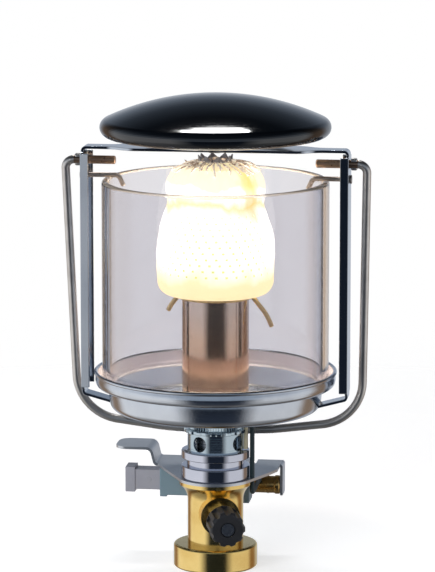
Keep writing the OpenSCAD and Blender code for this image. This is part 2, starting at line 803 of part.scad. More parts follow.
module jet() {
    head_h = 3;
    tip_r = 1.2;
    bore_r = 0.35;
    color([0.8, 0.65, 0.3])
        difference() {
            union() {
                translate([0, 0, stub_top - 6]) cylinder(r = jet_r, h = 6 + eps);
                translate([0, 0, stub_top]) cylinder(r = 3, h = head_h, $fn = 6);
                translate([0, 0, stub_top + head_h - eps])
                    cylinder(r = tip_r, h = jet_top - stub_top - head_h + eps);
            }
            translate([0, 0, stub_top - 7]) cylinder(r = bore_r, h = jet_top - stub_top + 8);
        }
}

module gas_filter() {
    color([0.7, 0.55, 0.35])
        translate([0, 0, stub_top - 9.5]) cylinder(r = jet_r, h = 3.4);
}

module bracket_plan() {
    difference() {
        union() {
            circle(r = plate_front_r);
            polygon([tangent_point(-plate_left, corner_left_y, 1),
                     tangent_point(plate_right, corner_right_y, -1),
                     [plate_right, corner_right_y], [plate_right, right_back],
                     [notch_x + notch_w, right_back], [notch_x + notch_w, notch_y],
                     [notch_x, notch_y], [notch_x, plate_back], [-plate_left, plate_back],
                     [-plate_left, corner_left_y]]);
        }
        circle(r = stub_r + seat_gap);
        translate([lead_x, 0]) circle(r = lead_r + seat_gap);
    }
}

// Where the line from a corner of the plate touches its round front
function tangent_point(x, y, side) =
    let (a = atan2(y, x) + side * acos(plate_front_r / norm([x, y])))
    plate_front_r * [cos(a), sin(a)];

module bracket() {
    tab_top = plate_z + tab_rise;
    tab_x = -plate_left - 1.7;
    r = 2.4;
    tip_r = 0.45 * plate_t;
    color([0.55, 0.57, 0.6]) {
        translate([0, 0, valve_h]) linear_extrude(height = plate_t) bracket_plan();
        translate([0, plate_back, 0])
            upright_plane()
                linear_extrude(height = tab_w)
                    polygon(rounded([
                        [-plate_left + eps, plate_z, 0], [-plate_left, plate_z, 0],
                        [tab_x + plate_t, tab_top, r], [tab_x - tab_l, tab_top, tip_r],
                        [tab_x - tab_l, tab_top - plate_t, tip_r], [tab_x, tab_top - plate_t, r - plate_t],
                        [-plate_left - plate_t, valve_h, 0.6], [-plate_left + eps, valve_h, 0]]));
        translate([plate_right - plate_t, lug_front_y, plate_z - lug_h])
            cube([plate_t, right_back - lug_front_y, lug_h - plate_t + eps]);
    }
}

module igniter_housing() {
    foot_l = 2.2;
    color([0.45, 0.53, 0.57])
        difference() {
            union() {
                translate([housing_x, igniter_y - housing_w / 2, housing_z])
                    cube([housing_l, housing_w, housing_h]);
                translate([housing_x, igniter_y - housing_w / 2, housing_z - 0.5])
                    cube([foot_l, housing_w, 0.5 + eps]);
                translate([housing_end - foot_l, igniter_y - housing_w / 2, housing_z - 1.8])
                    cube([foot_l, housing_w, 1.8 + eps]);
            }
            translate([housing_x - 1, igniter_y - stem_w / 2 - move_gap, stem_z - stem_h / 2 - move_gap])
                cube([pocket_l + 1, stem_w + 2 * move_gap, stem_h + 2 * move_gap]);
            translate([housing_x, igniter_y, axis_z])
                along_x(housing_bore_r, crystal_x + crystal_l + 0.15 - housing_x);
        }
}

module igniter_button() {
    stem_end = housing_x + stem_in;
    color([0.62, 0.62, 0.66]) {
        translate([housing_x - stem_out, igniter_y - stem_w / 2, stem_z - stem_h / 2])
            cube([stem_end - housing_x + stem_out, stem_w, stem_h]);
        translate([housing_x - stem_out - button_t, igniter_y - stem_w / 2 - 0.4, stem_z - button_h / 2])
            cube([button_t + eps, stem_w + 0.8, button_h]);
    }
}

// Coil spring between the button's stem and the hammer, swept along its own helix
module button_spring() {
    sides = 6;
    rings = 8 * spring_turns;
    x0 = housing_x + stem_in + spring_wire_r + 0.1;
    x1 = hammer_x - spring_wire_r - 0.1;
    pts = [for (i = [0 : rings], j = [0 : sides - 1])
        let (a = 360 * spring_turns * i / rings, b = 360 * j / sides,
             rr = spring_r + spring_wire_r * cos(b))
        [x0 + (x1 - x0) * i / rings + spring_wire_r * sin(b), rr * cos(a), rr * sin(a)]];
    color([0.7, 0.7, 0.72])
        translate([0, igniter_y, axis_z]) polyhedron(points = pts, faces = tube_faces(rings + 1, sides));
}

module igniter_hammer() {
    color([0.55, 0.56, 0.58])
        translate([hammer_x, igniter_y, axis_z]) along_x(housing_bore_r - seat_gap, hammer_l);
}

module igniter_crystal() {
    color([0.85, 0.8, 0.65])
        translate([crystal_x, igniter_y, axis_z]) along_x(housing_bore_r - seat_gap, crystal_l);
}

module igniter_barrel() {
    groove_low = 0.57 * barrel_l;
    groove_top = groove_low + 0.4;
    groove_floor_r = barrel_r - 0.25;
    chamfer = 0.5;
    color([0.7, 0.52, 0.25])
        translate([barrel_x, igniter_y, barrel_z])
            rotate([0, 90, 0])
                rotate_extrude()
                    polygon([[0, 0], [barrel_r, 0], [barrel_r, groove_low],
                             [groove_floor_r, groove_low], [groove_floor_r, groove_top],
                             [barrel_r, groove_top], [barrel_r, barrel_l - chamfer],
                             [barrel_r - chamfer, barrel_l], [0, barrel_l]]);
}

// Insulated lead from the igniter's barrel, up past the collar to the electrode's sleeve
module ignition_lead() {
    barrel_front = igniter_y - sqrt(pow(barrel_r, 2) - pow(lead_turn_z - lead_r - barrel_z, 2)) - 0.1;
    rise = lead_top_z - lead_turn_z - lead_bend - lead_top_bend;
    color([0.15, 0.17, 0.18])
        translate([lead_x, 0, lead_turn_z]) {
            translate([0, barrel_front, 0])
                rotate([90, 0, -90])
                    wire([[barrel_front - lead_bend, lead_bend, 90], [rise / 2, 0, 0]], lead_r);
            translate([0, 0, lead_bend + rise / 2 - 0.5])
                upright_plane() rotate([0, 0, 90])
                    wire([[rise / 2 + 0.5, lead_top_bend, 90], [lead_end_run, 0, 0]], lead_r - thin);
        }
}

module electrode_sleeve() {
    color([0.9, 0.86, 0.72])
        translate([ceramic_x, 0, ceramic_z])
            difference() {
                cylinder(r = ceramic_r, h = floor_z - seat_gap - ceramic_z);
                translate([0, 0, 1]) cylinder(r = electrode_r + seat_gap, h = floor_z - ceramic_z);
            }
}

module electrode_wire() {
    tip_in = 2.4;
    bend = 0.8;
    top = cap_z + cap_h + 0.4;
    low = ceramic_z + 1 + seat_gap;
    color([0.5, 0.48, 0.45])
        translate([ceramic_x, 0, low])
            upright_plane() rotate([0, 0, 90])
                wire([[top - low - bend, bend, 90], [tip_in, 0, 0]], electrode_r, 8);
}

// Brass body: foot with the canister thread, waist swept out to the top flange, and spindle boss
module valve_body() {
    color([0.82, 0.65, 0.3])
        difference() {
            union() {
                rotate_extrude()
                    polygon(concat(
                        rounded([[0, 0, 0], [foot_r, 0, 0.8], [foot_r, foot_h, 0.8], [waist_r, foot_h, 0]]),
                        arc([waist_r + sweep_r, waist_z], sweep_r, 180, 180 - sweep_a, 12),
                        [[valve_flange_r, valve_h], [stub_r, valve_h], [stub_r, stub_top], [0, stub_top]]));
                on_spindle_axis() along_x(boss_r, boss_l);
            }
            translate([0, 0, -1]) cylinder(r = thread_r, h = thread_l + 1);
            translate([0, 0, thread_l - eps]) cylinder(r = seal_r, h = seal_h + eps);
            translate([0, 0, thread_l]) cylinder(r = opener_r + seat_gap, h = opener_l + 0.4);
            on_spindle_axis() {
                translate([-2, 0, 0]) along_x(chamber_r, boss_l + 3);
                translate([boss_l - seal_seat_l, 0, 0]) along_x(seal_seat_r, seal_seat_l + 1);
                translate([2.4, 0, thread_l - spindle_z]) cylinder(r = 0.6, h = spindle_z - thread_l);
            }
            translate([0, 0, spindle_z]) cylinder(r = 0.6, h = valve_h - spindle_z);
            translate([0, 0, stub_top - 9.6]) cylinder(r = jet_r + seat_gap, h = 11);
            translate([lead_x, 0, foot_h + 1]) cylinder(r = lead_r + 0.2, h = valve_h);
        }
}

module control_spindle() {
    needle_l = 1.6;
    color([0.8, 0.66, 0.35])
        on_spindle_axis() {
            translate([2.5, 0, 0]) along_x(spindle_r, spindle_end - 2.5);
            translate([2.5 - needle_l, 0, 0])
                rotate([0, 90, 0]) cylinder(r1 = 0.3, r2 = spindle_r, h = needle_l + eps);
        }
}

module spindle_seal() {
    minor = (seal_seat_r - spindle_r) / 2 - 2 * seat_gap;
    color([0.08, 0.08, 0.08])
        on_spindle_axis()
            translate([boss_l - seal_seat_l + minor + seat_gap, 0, 0])
                rotate([0, 90, 0])
                    rotate_extrude() translate([(seal_seat_r + spindle_r) / 2, 0]) circle(r = minor);
}

module gland_nut() {
    nose_l = 0.9;
    color([0.82, 0.66, 0.32])
        on_spindle_axis()
            difference() {
                union() {
                    translate([boss_l + seat_gap, 0, 0])
                        rotate([0, 90, 0]) cylinder(r = gland_r, h = gland_l - seat_gap, $fn = 6);
                    translate([boss_l - nose_l, 0, 0])
                        along_x(seal_seat_r - seat_gap, nose_l + seat_gap + eps);
                }
                translate([boss_l - nose_l - 1, 0, 0]) along_x(spindle_r + run_gap, gland_l + nose_l + 2);
            }
}

module control_knob() {
    flute_r = 1.1;
    color([0.08, 0.08, 0.09])
        on_spindle_axis()
            translate([knob_start, 0, 0])
                rotate([0, 90, 0])
                    difference() {
                        rotate_extrude()
                            polygon(rounded([[0, 0, 0], [knob_r - 1.5, 0, 0.6], [knob_r, 2.5, 1],
                                             [knob_r, knob_l, 1], [0, knob_l, 0]]));
                        translate([0, 0, -1])
                            cylinder(r = spindle_r + seat_gap, h = spindle_end - knob_start + 1);
                        translate([0, 0, spindle_end - knob_start - eps])
                            cylinder(r = knob_screw_r + seat_gap, h = knob_l);
                        translate([0, 0, knob_l - 1.2]) cylinder(r = 2.2, h = 2);
                        for (i = [0 : knob_flutes - 1])
                            rotate([0, 0, 360 * i / knob_flutes])
                                translate([knob_r + 0.4, 0, 3]) cylinder(r = flute_r, h = knob_l);
                    }
}

module knob_screw() {
    color([0.7, 0.71, 0.73])
        on_spindle_axis()
            translate([spindle_end + seat_gap, 0, 0]) {
                along_x(knob_screw_r, knob_start + knob_l - 1.2 - spindle_end);
                translate([knob_start + knob_l - 1.2 - spindle_end, 0, 0]) along_x(1.9, 0.9);
            }
}

module valve_opener() {
    color([0.75, 0.7, 0.55])
        translate([0, 0, opener_z]) cylinder(r = opener_r, h = opener_l);
}

module canister_seal() {
    color([0.1, 0.1, 0.1])
        translate([0, 0, thread_l + seat_gap])
            ring(seal_r - seat_gap, seal_bore_r, seal_h - 2 * seat_gap);
}

lid();
lid_heat_shield();
lid_stud();
lid_nut();
frame();
bail();
glass_clip_left();
glass_clip_right();
glass_globe();
tray();
burner_tube();
burner_seat();
burner_cap();
gauze();
mantle_support();
mantle();
mantle_clip();
air_tube();
lock_nut();
coupling();
jet();
gas_filter();
bracket();
igniter_housing();
igniter_button();
button_spring();
igniter_hammer();
igniter_crystal();
igniter_barrel();
ignition_lead();
electrode_sleeve();
electrode_wire();
valve_body();
control_spindle();
spindle_seal();
gland_nut();
control_knob();
knob_screw();
valve_opener();
canister_seal();
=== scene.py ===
# %% [markdown]
# # A small gas lantern
# This lesson dresses the CAD model of a canister lantern. The CAD gives every piece its place and its size. We load the
# model, set up a small studio, give each node a finish, and then remake the pieces whose bends, rounded edges or weave
# the CAD solids leave out.

# %% Load the CAD frame
import json
import random
from math import asin, atan2, cos, hypot, pi, radians, sin, tan

import bmesh
import bpy
from mathutils import Matrix, Vector, noise


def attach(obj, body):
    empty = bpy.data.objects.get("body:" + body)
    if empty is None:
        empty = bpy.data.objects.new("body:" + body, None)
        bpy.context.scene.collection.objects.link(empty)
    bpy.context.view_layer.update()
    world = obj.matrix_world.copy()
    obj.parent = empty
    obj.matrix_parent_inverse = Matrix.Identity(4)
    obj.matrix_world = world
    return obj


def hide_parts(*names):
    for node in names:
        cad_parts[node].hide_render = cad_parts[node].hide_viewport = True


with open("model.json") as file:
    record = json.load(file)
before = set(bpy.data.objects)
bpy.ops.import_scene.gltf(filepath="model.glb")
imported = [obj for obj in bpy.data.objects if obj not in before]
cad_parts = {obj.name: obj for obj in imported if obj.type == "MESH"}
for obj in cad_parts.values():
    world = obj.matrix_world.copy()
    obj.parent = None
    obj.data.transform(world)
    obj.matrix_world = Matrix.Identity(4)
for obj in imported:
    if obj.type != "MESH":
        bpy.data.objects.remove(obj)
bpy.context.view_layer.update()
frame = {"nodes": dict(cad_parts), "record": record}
scene = bpy.context.scene
nodes = frame["nodes"]
MM = 0.001
X, Y, Z = (1, 0, 0), (0, 1, 0), (0, 0, 1)

# %% [markdown]
# ## The camera
# The photograph was taken from a little over a metre away, slightly to the right of the front and about ten degrees
# above the burner. A pixel covers 0.295 mm at the lantern's axis, so the lens follows from the distance and the height
# of the frame.

# %% Camera
AZIMUTH = radians(7.5)
ELEVATION = radians(9.9)
DISTANCE = 1.1065
AIM = Vector((0.0006, 0, 0.0845))
PICTURE_ROWS, PIXEL = 572, 0.295
FRAME_HEIGHT = PICTURE_ROWS * PIXEL * MM
SENSOR = 36
back = Vector((sin(AZIMUTH) * cos(ELEVATION), -cos(AZIMUTH) * cos(ELEVATION), sin(ELEVATION)))
camera = bpy.data.objects.new("camera", bpy.data.cameras.new("camera"))
camera.data.sensor_fit = "VERTICAL"
camera.data.sensor_height = SENSOR
camera.data.lens = SENSOR * DISTANCE / FRAME_HEIGHT
camera.location = AIM + DISTANCE * back
camera.rotation_euler = back.to_track_quat("Z", "Y").to_euler()
scene.collection.objects.link(camera)
scene.camera = camera
scene.view_settings.view_transform = "Standard"
print(f"lens {camera.data.lens:.0f} mm")

# %% [markdown]
# ## Helpers for shader nodes
# The first helper adds a node, sets its options, and fills its inputs with a plain value or a link, whichever it is
# given. The second links into a node that is there, and the others add the nodes that come up again and again.

# %% Node helpers
MIX_A, MIX_B, MIX_OUT = 6, 7, 2
DENT = 0.2 * MM


def put(tree, kind, inputs=(), **options):
    node = tree.nodes.new("ShaderNode" + kind)
    for option, value in options.items():
        setattr(node, option, value)
    for socket, value in dict(inputs).items():
        if isinstance(value, bpy.types.NodeSocket):
            tree.links.new(value, node.inputs[socket])
        else:
            node.inputs[socket].default_value = value
    return node


def feed(tree, node, **sockets):
    for socket, value in sockets.items():
        tree.links.new(value, node.inputs[socket.replace("_", " ")])


def maths(tree, operation, *values, **options):
    return put(tree, "Math", dict(enumerate(values)), operation=operation, **options).outputs[0]


def vector_maths(tree, operation, *values, out="Vector"):
    return put(tree, "VectorMath", dict(enumerate(values)), operation=operation).outputs[out]


def span(tree, value, low=0, high=1, start=0, end=1, smooth=False):
    return put(tree, "MapRange", {"Value": value, "From Min": low, "From Max": high, "To Min": start, "To Max": end},
               interpolation_type="SMOOTHSTEP" if smooth else "LINEAR").outputs[0]


def place_in(tree):
    return put(tree, "TexCoord").outputs["Object"]


def height_of(tree, where):
    return put(tree, "SeparateXYZ", {0: where}).outputs["Z"]


def noise_node(tree, where, scale, detail):
    return put(tree, "TexNoise", {"Vector": where, "Scale": scale, "Detail": detail}).outputs[0]


def bump_node(tree, strength, height, depth=DENT, **under):
    return put(tree, "Bump", {"Strength": strength, "Distance": depth, "Height": height, **under}).outputs[0]


def blend_colours(tree, share, first, second):
    return put(tree, "Mix", {0: share, MIX_A: first, MIX_B: second}, data_type="RGBA").outputs[MIX_OUT]


def ramp_node(tree, value, stops):
    low, high = stops[0][0], stops[-1][0]
    ramp = put(tree, "ValToRGB", {0: span(tree, value, low, high)})
    elements = ramp.color_ramp.elements
    for place, colour in stops[1:-1]:
        elements.new((place - low) / (high - low)).color = colour
    elements[0].color = stops[0][1]
    elements[len(stops) - 1].color = stops[-1][1]
    return ramp.outputs[0]


print("node helpers ready")

# %% [markdown]
# ## The studio
# Bright metal is mostly a picture of the room around it. This studio has a pale back wall, a wide soft panel at each
# side with a tan strip behind it, and darkness round the camera, which draws the dark stripe down the middle of every
# round piece. The floor is a small pale disc that keeps the shadow. It fades out so that no horizon shows, it is left
# out of the reflections, and the camera sees it lifted toward white. To the camera and straight through glass the
# world is plain white. Light that turned inside one wall of the glass meets amber, which gives the globe tan edges.

# %% Floor
FLOOR_RADIUS, FADE_START, FADE_END = 0.5, 0.12, 0.42
CAMERA_LIFT = 0.66
bm = bmesh.new()
bmesh.ops.create_circle(bm, cap_ends=True, radius=FLOOR_RADIUS, segments=96)
floor = bpy.data.objects.new("floor", bpy.data.meshes.new("floor"))
bm.to_mesh(floor.data)
bm.free()
scene.collection.objects.link(floor)
pale = bpy.data.materials.new("pale_floor")
pale.use_nodes = True
tree = pale.node_tree
tree.nodes.clear()
reach = vector_maths(tree, "LENGTH", place_in(tree), out="Value")
path = put(tree, "LightPath").outputs
hidden = maths(tree, "MAXIMUM", span(tree, reach, FADE_START, FADE_END, smooth=True), path["Is Glossy Ray"])
seen = maths(tree, "MAXIMUM", path["Is Camera Ray"], path["Is Transmission Ray"])
lift = maths(tree, "MULTIPLY", seen, CAMERA_LIFT)
matt = put(tree, "BsdfDiffuse", {"Color": (0.78, 0.78, 0.79, 1)})
glow = put(tree, "Emission", {"Color": (1, 1, 1, 1), "Strength": lift})
both = put(tree, "AddShader", {0: matt.outputs[0], 1: glow.outputs[0]})
clear = put(tree, "BsdfTransparent")
faded = put(tree, "MixShader", {0: hidden, 1: both.outputs[0], 2: clear.outputs[0]})
put(tree, "OutputMaterial", {"Surface": faded.outputs[0]})
floor.data.materials.append(pale)
print("floor of radius", FLOOR_RADIUS, "m")

# %% The room
world = bpy.data.worlds.new("studio")
scene.world = world
world.use_nodes = True
tree = world.node_tree
tree.nodes.clear()
toward = put(tree, "SeparateXYZ", {0: put(tree, "TexCoord").outputs["Generated"]}).outputs
turn = maths(tree, "DEGREES", maths(tree, "ARCTAN2", toward["X"], maths(tree, "MULTIPLY", toward["Y"], -1)))


def grey(level):
    return (level, level, level, 1)


WHITE, TAN, BACK, DARK = grey(1), (0.32, 0.22, 0.15, 1), (0.60, 0.63, 0.68, 1), grey(0)
AMBER = (0.80, 0.64, 0.48, 1)
panels = ramp_node(tree, turn, [
    (-180, BACK), (-154, BACK), (-138, TAN), (-126, TAN), (-112, WHITE), (-38, WHITE), (-16, DARK), (34, DARK),
    (56, grey(0.85)), (108, grey(0.85)), (122, TAN), (138, TAN), (154, BACK), (180, BACK)])
front = ramp_node(tree, turn, [
    (-180, DARK), (-38, DARK), (-16, WHITE), (34, WHITE), (56, DARK), (180, DARK)])
side_height = ramp_node(tree, toward["Z"], [
    (-1, grey(0.2)), (-0.7, grey(0.4)), (-0.45, grey(0.95)), (0.06, (0.93, 0.96, 1, 1)),
    (0.25, (0.48, 0.54, 0.62, 1)), (0.45, (0.16, 0.19, 0.23, 1)), (0.68, (0.02, 0.024, 0.03, 1)), (1, grey(0.012))])
front_height = ramp_node(tree, toward["Z"], [
    (-1, grey(0.12)), (-0.5, (0.03, 0.04, 0.06, 1)), (-0.08, (0.008, 0.012, 0.02, 1)), (0.03, (0.30, 0.36, 0.44, 1)),
    (0.3, (0.34, 0.40, 0.48, 1)), (0.55, (0.03, 0.036, 0.045, 1)), (1, grey(0.02))])
sides = vector_maths(tree, "MULTIPLY", panels, side_height)
room = vector_maths(tree, "MULTIPLY_ADD", front, front_height, sides)
print("room painted")

# %% What each ray sees
ONE_BOUNCE, ONE_WALL = 0.5, 2.5
path = put(tree, "LightPath").outputs
through = path["Is Transmission Ray"]
straight = maths(tree, "MULTIPLY", through, maths(tree, "LESS_THAN", path["Glossy Depth"], ONE_BOUNCE))
plain = maths(tree, "MAXIMUM", path["Is Camera Ray"], straight)
turned = maths(tree, "MULTIPLY", through, maths(tree, "GREATER_THAN", path["Glossy Depth"], ONE_BOUNCE))
in_edge = maths(tree, "MULTIPLY", turned, maths(tree, "LESS_THAN", path["Transmission Depth"], ONE_WALL))
sky = blend_colours(tree, in_edge, blend_colours(tree, plain, room, WHITE), AMBER)
shine = put(tree, "Background", {"Color": sky, "Strength": 1})
put(tree, "OutputWorld", {"Surface": shine.outputs[0]})
print("world set")

# %% [markdown]
# ## The lamps
# A short strip above and behind draws the highlight on the lid. A wide panel in front fills the shadows, and no metal
# or glass shows it. A small warm lamp inside the mantle stands for the light of the flame.

# %% Lamps
def add_lamp(name, kind, place, watts):
    lamp = bpy.data.objects.new(name, bpy.data.lights.new(name, kind))
    lamp.data.energy = watts
    lamp.location = place
    scene.collection.objects.link(lamp)
    return lamp


def soft_light(name, place, aim, size, watts, mirrored=True):
    lamp = add_lamp(name, "AREA", place, watts)
    lamp.data.shape = "RECTANGLE"
    lamp.data.size, lamp.data.size_y = size
    lamp.rotation_euler = (Vector(place) - Vector(aim)).to_track_quat("Z", "Y").to_euler()
    lamp.visible_glossy = lamp.visible_transmission = mirrored


soft_light("overhead", place=(-0.111, 0.51, 0.928), aim=(0, 0, 0.13), size=(0.38, 0.08), watts=2.2)
soft_light("front_fill", place=(-0.35, -1.0, 0.45), aim=(0, 0, 0.06), size=(0.7, 0.5), watts=7, mirrored=False)
flame = add_lamp("flame", "POINT", place=(0, 0, 0.1), watts=0.25)
flame.data.color = (1, 0.88, 0.74)
flame.data.shadow_soft_size = 0.012

# %% [markdown]
# ## Shared surface effects
# Real finishes are never one even colour: plating clouds over, plastic has a fine grain, drawn wire carries lines along
# its length, and steel in a flame takes on colours. Three node groups hold these effects for the materials to share.

# %% Node groups
def new_group(name, inputs, outputs):
    group = bpy.data.node_groups.new(name, "ShaderNodeTree")
    for way, kinds in (("INPUT", inputs), ("OUTPUT", outputs)):
        for kind, sockets in kinds.items():
            for socket in sockets:
                group.interface.new_socket(socket, in_out=way, socket_type="NodeSocket" + kind)
    return group, group.nodes.new("NodeGroupInput").outputs, group.nodes.new("NodeGroupOutput")


CLOUD_LOW, CLOUD_HIGH = 0.42, 0.68
cloudy, given, result = new_group(
    "cloudy_finish",
    {"Color": ["Colour", "Cloud Colour"],
     "Float": ["Cloud Scale", "Cloud Share", "Roughness", "Roughness Spread", "Grain Scale"]},
    {"Color": ["Colour"], "Float": ["Roughness", "Height"]})
where = place_in(cloudy)
clouds = noise_node(cloudy, where, given["Cloud Scale"], 4)
share = span(cloudy, clouds, CLOUD_LOW, CLOUD_HIGH, end=given["Cloud Share"])
grain = noise_node(cloudy, where, given["Grain Scale"], 3)
spread = maths(cloudy, "MULTIPLY_ADD", maths(cloudy, "SUBTRACT", grain, 0.5), given["Roughness Spread"],
               given["Roughness"], use_clamp=True)
clouded = blend_colours(cloudy, share, given["Colour"], given["Cloud Colour"])
feed(cloudy, result, Colour=clouded, Roughness=spread, Height=grain)

drawn_lines, given, result = new_group("drawn_lines", {"Vector": ["Stretch"]}, {"Float": ["Height"]})
pulled = vector_maths(drawn_lines, "MULTIPLY", place_in(drawn_lines), given["Stretch"])
feed(drawn_lines, result, Height=noise_node(drawn_lines, pulled, 1, 2))

HEAT_WAVER = 14 * MM
tint, given, result = new_group("heat_tint", {"Color": ["Cool", "Straw", "Hot"], "Float": ["Low", "High"]},
                                {"Color": ["Colour"]})
where = place_in(tint)
uneven = maths(tint, "MULTIPLY_ADD", noise_node(tint, where, 120, 3), HEAT_WAVER, height_of(tint, where))
rise = span(tint, uneven, given["Low"], given["High"], smooth=True)
straw = blend_colours(tint, span(tint, rise, high=0.5), given["Cool"], given["Straw"])
feed(tint, result, Colour=blend_colours(tint, span(tint, rise, low=0.5), straw, given["Hot"]))
print("node groups:", [g.name for g in bpy.data.node_groups])

# %% [markdown]
# ## Finishes
# Most finishes differ only in their numbers, so one function builds them: a Principled shader whose colour, roughness
# and bump come from the groups, while values that are the same all over are set on the shader's own sockets. The
# numbers are the roughness, its spread and how metallic it is, and for drawn metal the lines' stretch and strength.

# %% Finish maker
CLOUD_SHARE = 0.6


def rgba(colour):
    return (*colour, 1)


def new_material(name, **sockets):
    material = bpy.data.materials.new(name)
    material.use_nodes = True
    shader = material.node_tree.nodes["Principled BSDF"]
    for socket, value in sockets.items():
        shader.inputs[socket.replace("_", " ")].default_value = value
    return material, material.node_tree, shader


def finish(name, colour, cloud, roughness, spread, metallic=0.0, clouds=60, grain=1500, bump=0.04, lines=None,
           heat=None, **sockets):
    material, tree, shader = new_material(name, Metallic=metallic, **sockets)
    surface = put(tree, "Group",
                  {"Colour": rgba(colour), "Cloud Colour": rgba(cloud), "Cloud Scale": clouds,
                   "Cloud Share": CLOUD_SHARE, "Roughness": roughness, "Roughness Spread": spread,
                   "Grain Scale": grain}, node_tree=cloudy).outputs
    base = surface["Colour"]
    dents = bump_node(tree, bump, surface["Height"])
    if lines:
        *stretch, line_bump = lines
        drawn = put(tree, "Group", {"Stretch": stretch}, node_tree=drawn_lines).outputs["Height"]
        dents = bump_node(tree, line_bump, drawn, Normal=dents)
    if heat:
        low, high, straw_colour, hot_colour = heat
        base = put(tree, "Group",
                   {"Cool": base, "Straw": rgba(straw_colour), "Hot": rgba(hot_colour), "Low": low * MM,
                    "High": high * MM}, node_tree=tint).outputs["Colour"]
    feed(tree, shader, Base_Color=base, Roughness=surface["Roughness"], Normal=dents)
    return material


print("finish maker ready")

# %% Metal finishes
chrome = finish("bright_chrome", (0.50, 0.54, 0.60), (0.40, 0.44, 0.51), 0.09, 0.08, 1, bump=0.015)
tray_chrome = finish(
    "pressed_chrome", (0.60, 0.63, 0.68), (0.48, 0.51, 0.56), 0.17, 0.12, 1, clouds=90, lines=(60, 60, 5000, 0.025))
# Painted light: a warm tint stands for the flame's light on the tray's upper inside wall.
flame_lit_chrome = finish("painted_flame_light_chrome", (0.90, 0.86, 0.85), (0.78, 0.71, 0.68), 0.22, 0.08, 0.7, clouds=70, bump=0.004)
# Painted reflection: a blue-grey tint stands for the cool room mirrored in the tray's lower inside wall and floor.
floor_reflection_chrome = finish("floor_reflection_chrome", (0.70, 0.76, 0.85), (0.57, 0.62, 0.70), 0.2, 0.08, 0.85, clouds=70, bump=0.004)
collar_chrome = finish(
    "turned_chrome", (0.50, 0.58, 0.63), (0.36, 0.46, 0.52), 0.12, 0.1, 1, lines=(40, 40, 3600, 0.03))
ring_chrome = finish(
    "ring_chrome", (0.60, 0.61, 0.69), (0.48, 0.50, 0.58), 0.10, 0.08, 1, bump=0.015, lines=(30, 30, 2600, 0.03))
satin_wire = finish(
    "satin_wire", (0.68, 0.65, 0.62), (0.52, 0.49, 0.46), 0.36, 0.2, 1, clouds=200, lines=(2600, 2600, 90, 0.06))
pin_steel = finish("copper_brown_pin", (0.40, 0.27, 0.19), (0.25, 0.15, 0.10), 0.3, 0.2, 1, clouds=260)
clip_wire = finish("clip_wire", (0.48, 0.42, 0.38), (0.30, 0.24, 0.21), 0.3, 0.2, 1, clouds=260)
zinc = finish(
    "satin_zinc", (0.66, 0.68, 0.71), (0.54, 0.56, 0.59), 0.38, 0.18, 1, clouds=110, lines=(160, 1800, 160, 0.05))
steel = finish("bright_steel", (0.50, 0.50, 0.52), (0.38, 0.38, 0.40), 0.25, 0.15, 1)
brass = finish(
    "polished_brass", (0.88, 0.64, 0.24), (0.70, 0.44, 0.12), 0.15, 0.14, 1, clouds=120, lines=(60, 60, 3200, 0.05))
# Painted shade: a darker brass for the barrel, which lies in the shadow below the bracket's plate.
shaded_brass = finish(
    "painted_shade_brass", (0.56, 0.36, 0.13), (0.34, 0.20, 0.06), 0.24, 0.2, 1, clouds=240, lines=(3200, 80, 80, 0.05))
tube_steel = finish(
    "heated_tube", (0.86, 0.59, 0.42), (0.67, 0.43, 0.29), 0.16, 0.14, 1, clouds=90, bump=0.01,
    lines=(2400, 2400, 60, 0.03), heat=(58, 94, (0.88, 0.63, 0.45), (0.80, 0.69, 0.61)))
hot_wire = finish(
    "heated_wire", (0.62, 0.44, 0.34), (0.44, 0.28, 0.20), 0.3, 0.2, 1, clouds=300,
    heat=(70, 88, (0.74, 0.52, 0.27), (0.84, 0.60, 0.28)))
charred = finish("charred_steel", (0.30, 0.30, 0.33), (0.11, 0.09, 0.085), 0.45, 0.3, 0.4, clouds=500)
print("metals:", [m.name for m in bpy.data.materials])

# %% Other finishes
enamel = finish(
    "gloss_enamel", (0.002, 0.003, 0.005), (0.003, 0.005, 0.008), 0.07, 0.05, clouds=30, grain=700, bump=0.01,
    Specular_IOR_Level=0.85)
housing_plastic = finish(
    "igniter_plastic", (0.215, 0.305, 0.36), (0.18, 0.265, 0.315), 0.42, 0.2, grain=2600, bump=0.12)
button_plastic = finish("button_plastic", (0.40, 0.40, 0.45), (0.35, 0.35, 0.39), 0.4, 0.2, grain=2600, bump=0.1)
knob_plastic = finish("knob_plastic", (0.018, 0.018, 0.02), (0.03, 0.03, 0.033), 0.38, 0.2, grain=2600, bump=0.12)
ceramic = finish("fired_ceramic", (0.74, 0.66, 0.45), (0.62, 0.52, 0.34), 0.35, 0.2, clouds=400, grain=3000)
rubber = finish("black_rubber", (0.016, 0.032, 0.038), (0.03, 0.048, 0.054), 0.5, 0.2, grain=3000, bump=0.1)
print("finishes:", len(bpy.data.materials))

# %% [markdown]
# Glass is clear to shadow rays, so that the lamps reach what stands inside the globe. Its melted rim is duller.

# %% Glass
GLASS_IOR = 1.47
glass_rim = finish(
    "melted_rim", (0.86, 0.74, 0.62), (0.78, 0.64, 0.51), 0.14, 0.1, clouds=120, grain=400, bump=0.02,
    Transmission_Weight=0.55, IOR=GLASS_IOR)
glass = finish(
    "clear_glass", (0.79, 0.78, 0.815), (0.76, 0.75, 0.785), 0.012, 0.012, clouds=25, grain=300, bump=0.004,
    Transmission_Weight=1, IOR=GLASS_IOR)
tree = glass.node_tree
shader = tree.nodes["Principled BSDF"]
clear = put(tree, "BsdfTransparent", {"Color": (0.9, 0.89, 0.92, 1)})
shadow = put(tree, "LightPath").outputs["Is Shadow Ray"]
mixed = put(tree, "MixShader", {0: shadow, 1: shader.outputs[0], 2: clear.outputs[0]})
feed(tree, tree.nodes["Material Output"], Surface=mixed.outputs[0])
print("finishes:", len(bpy.data.materials))

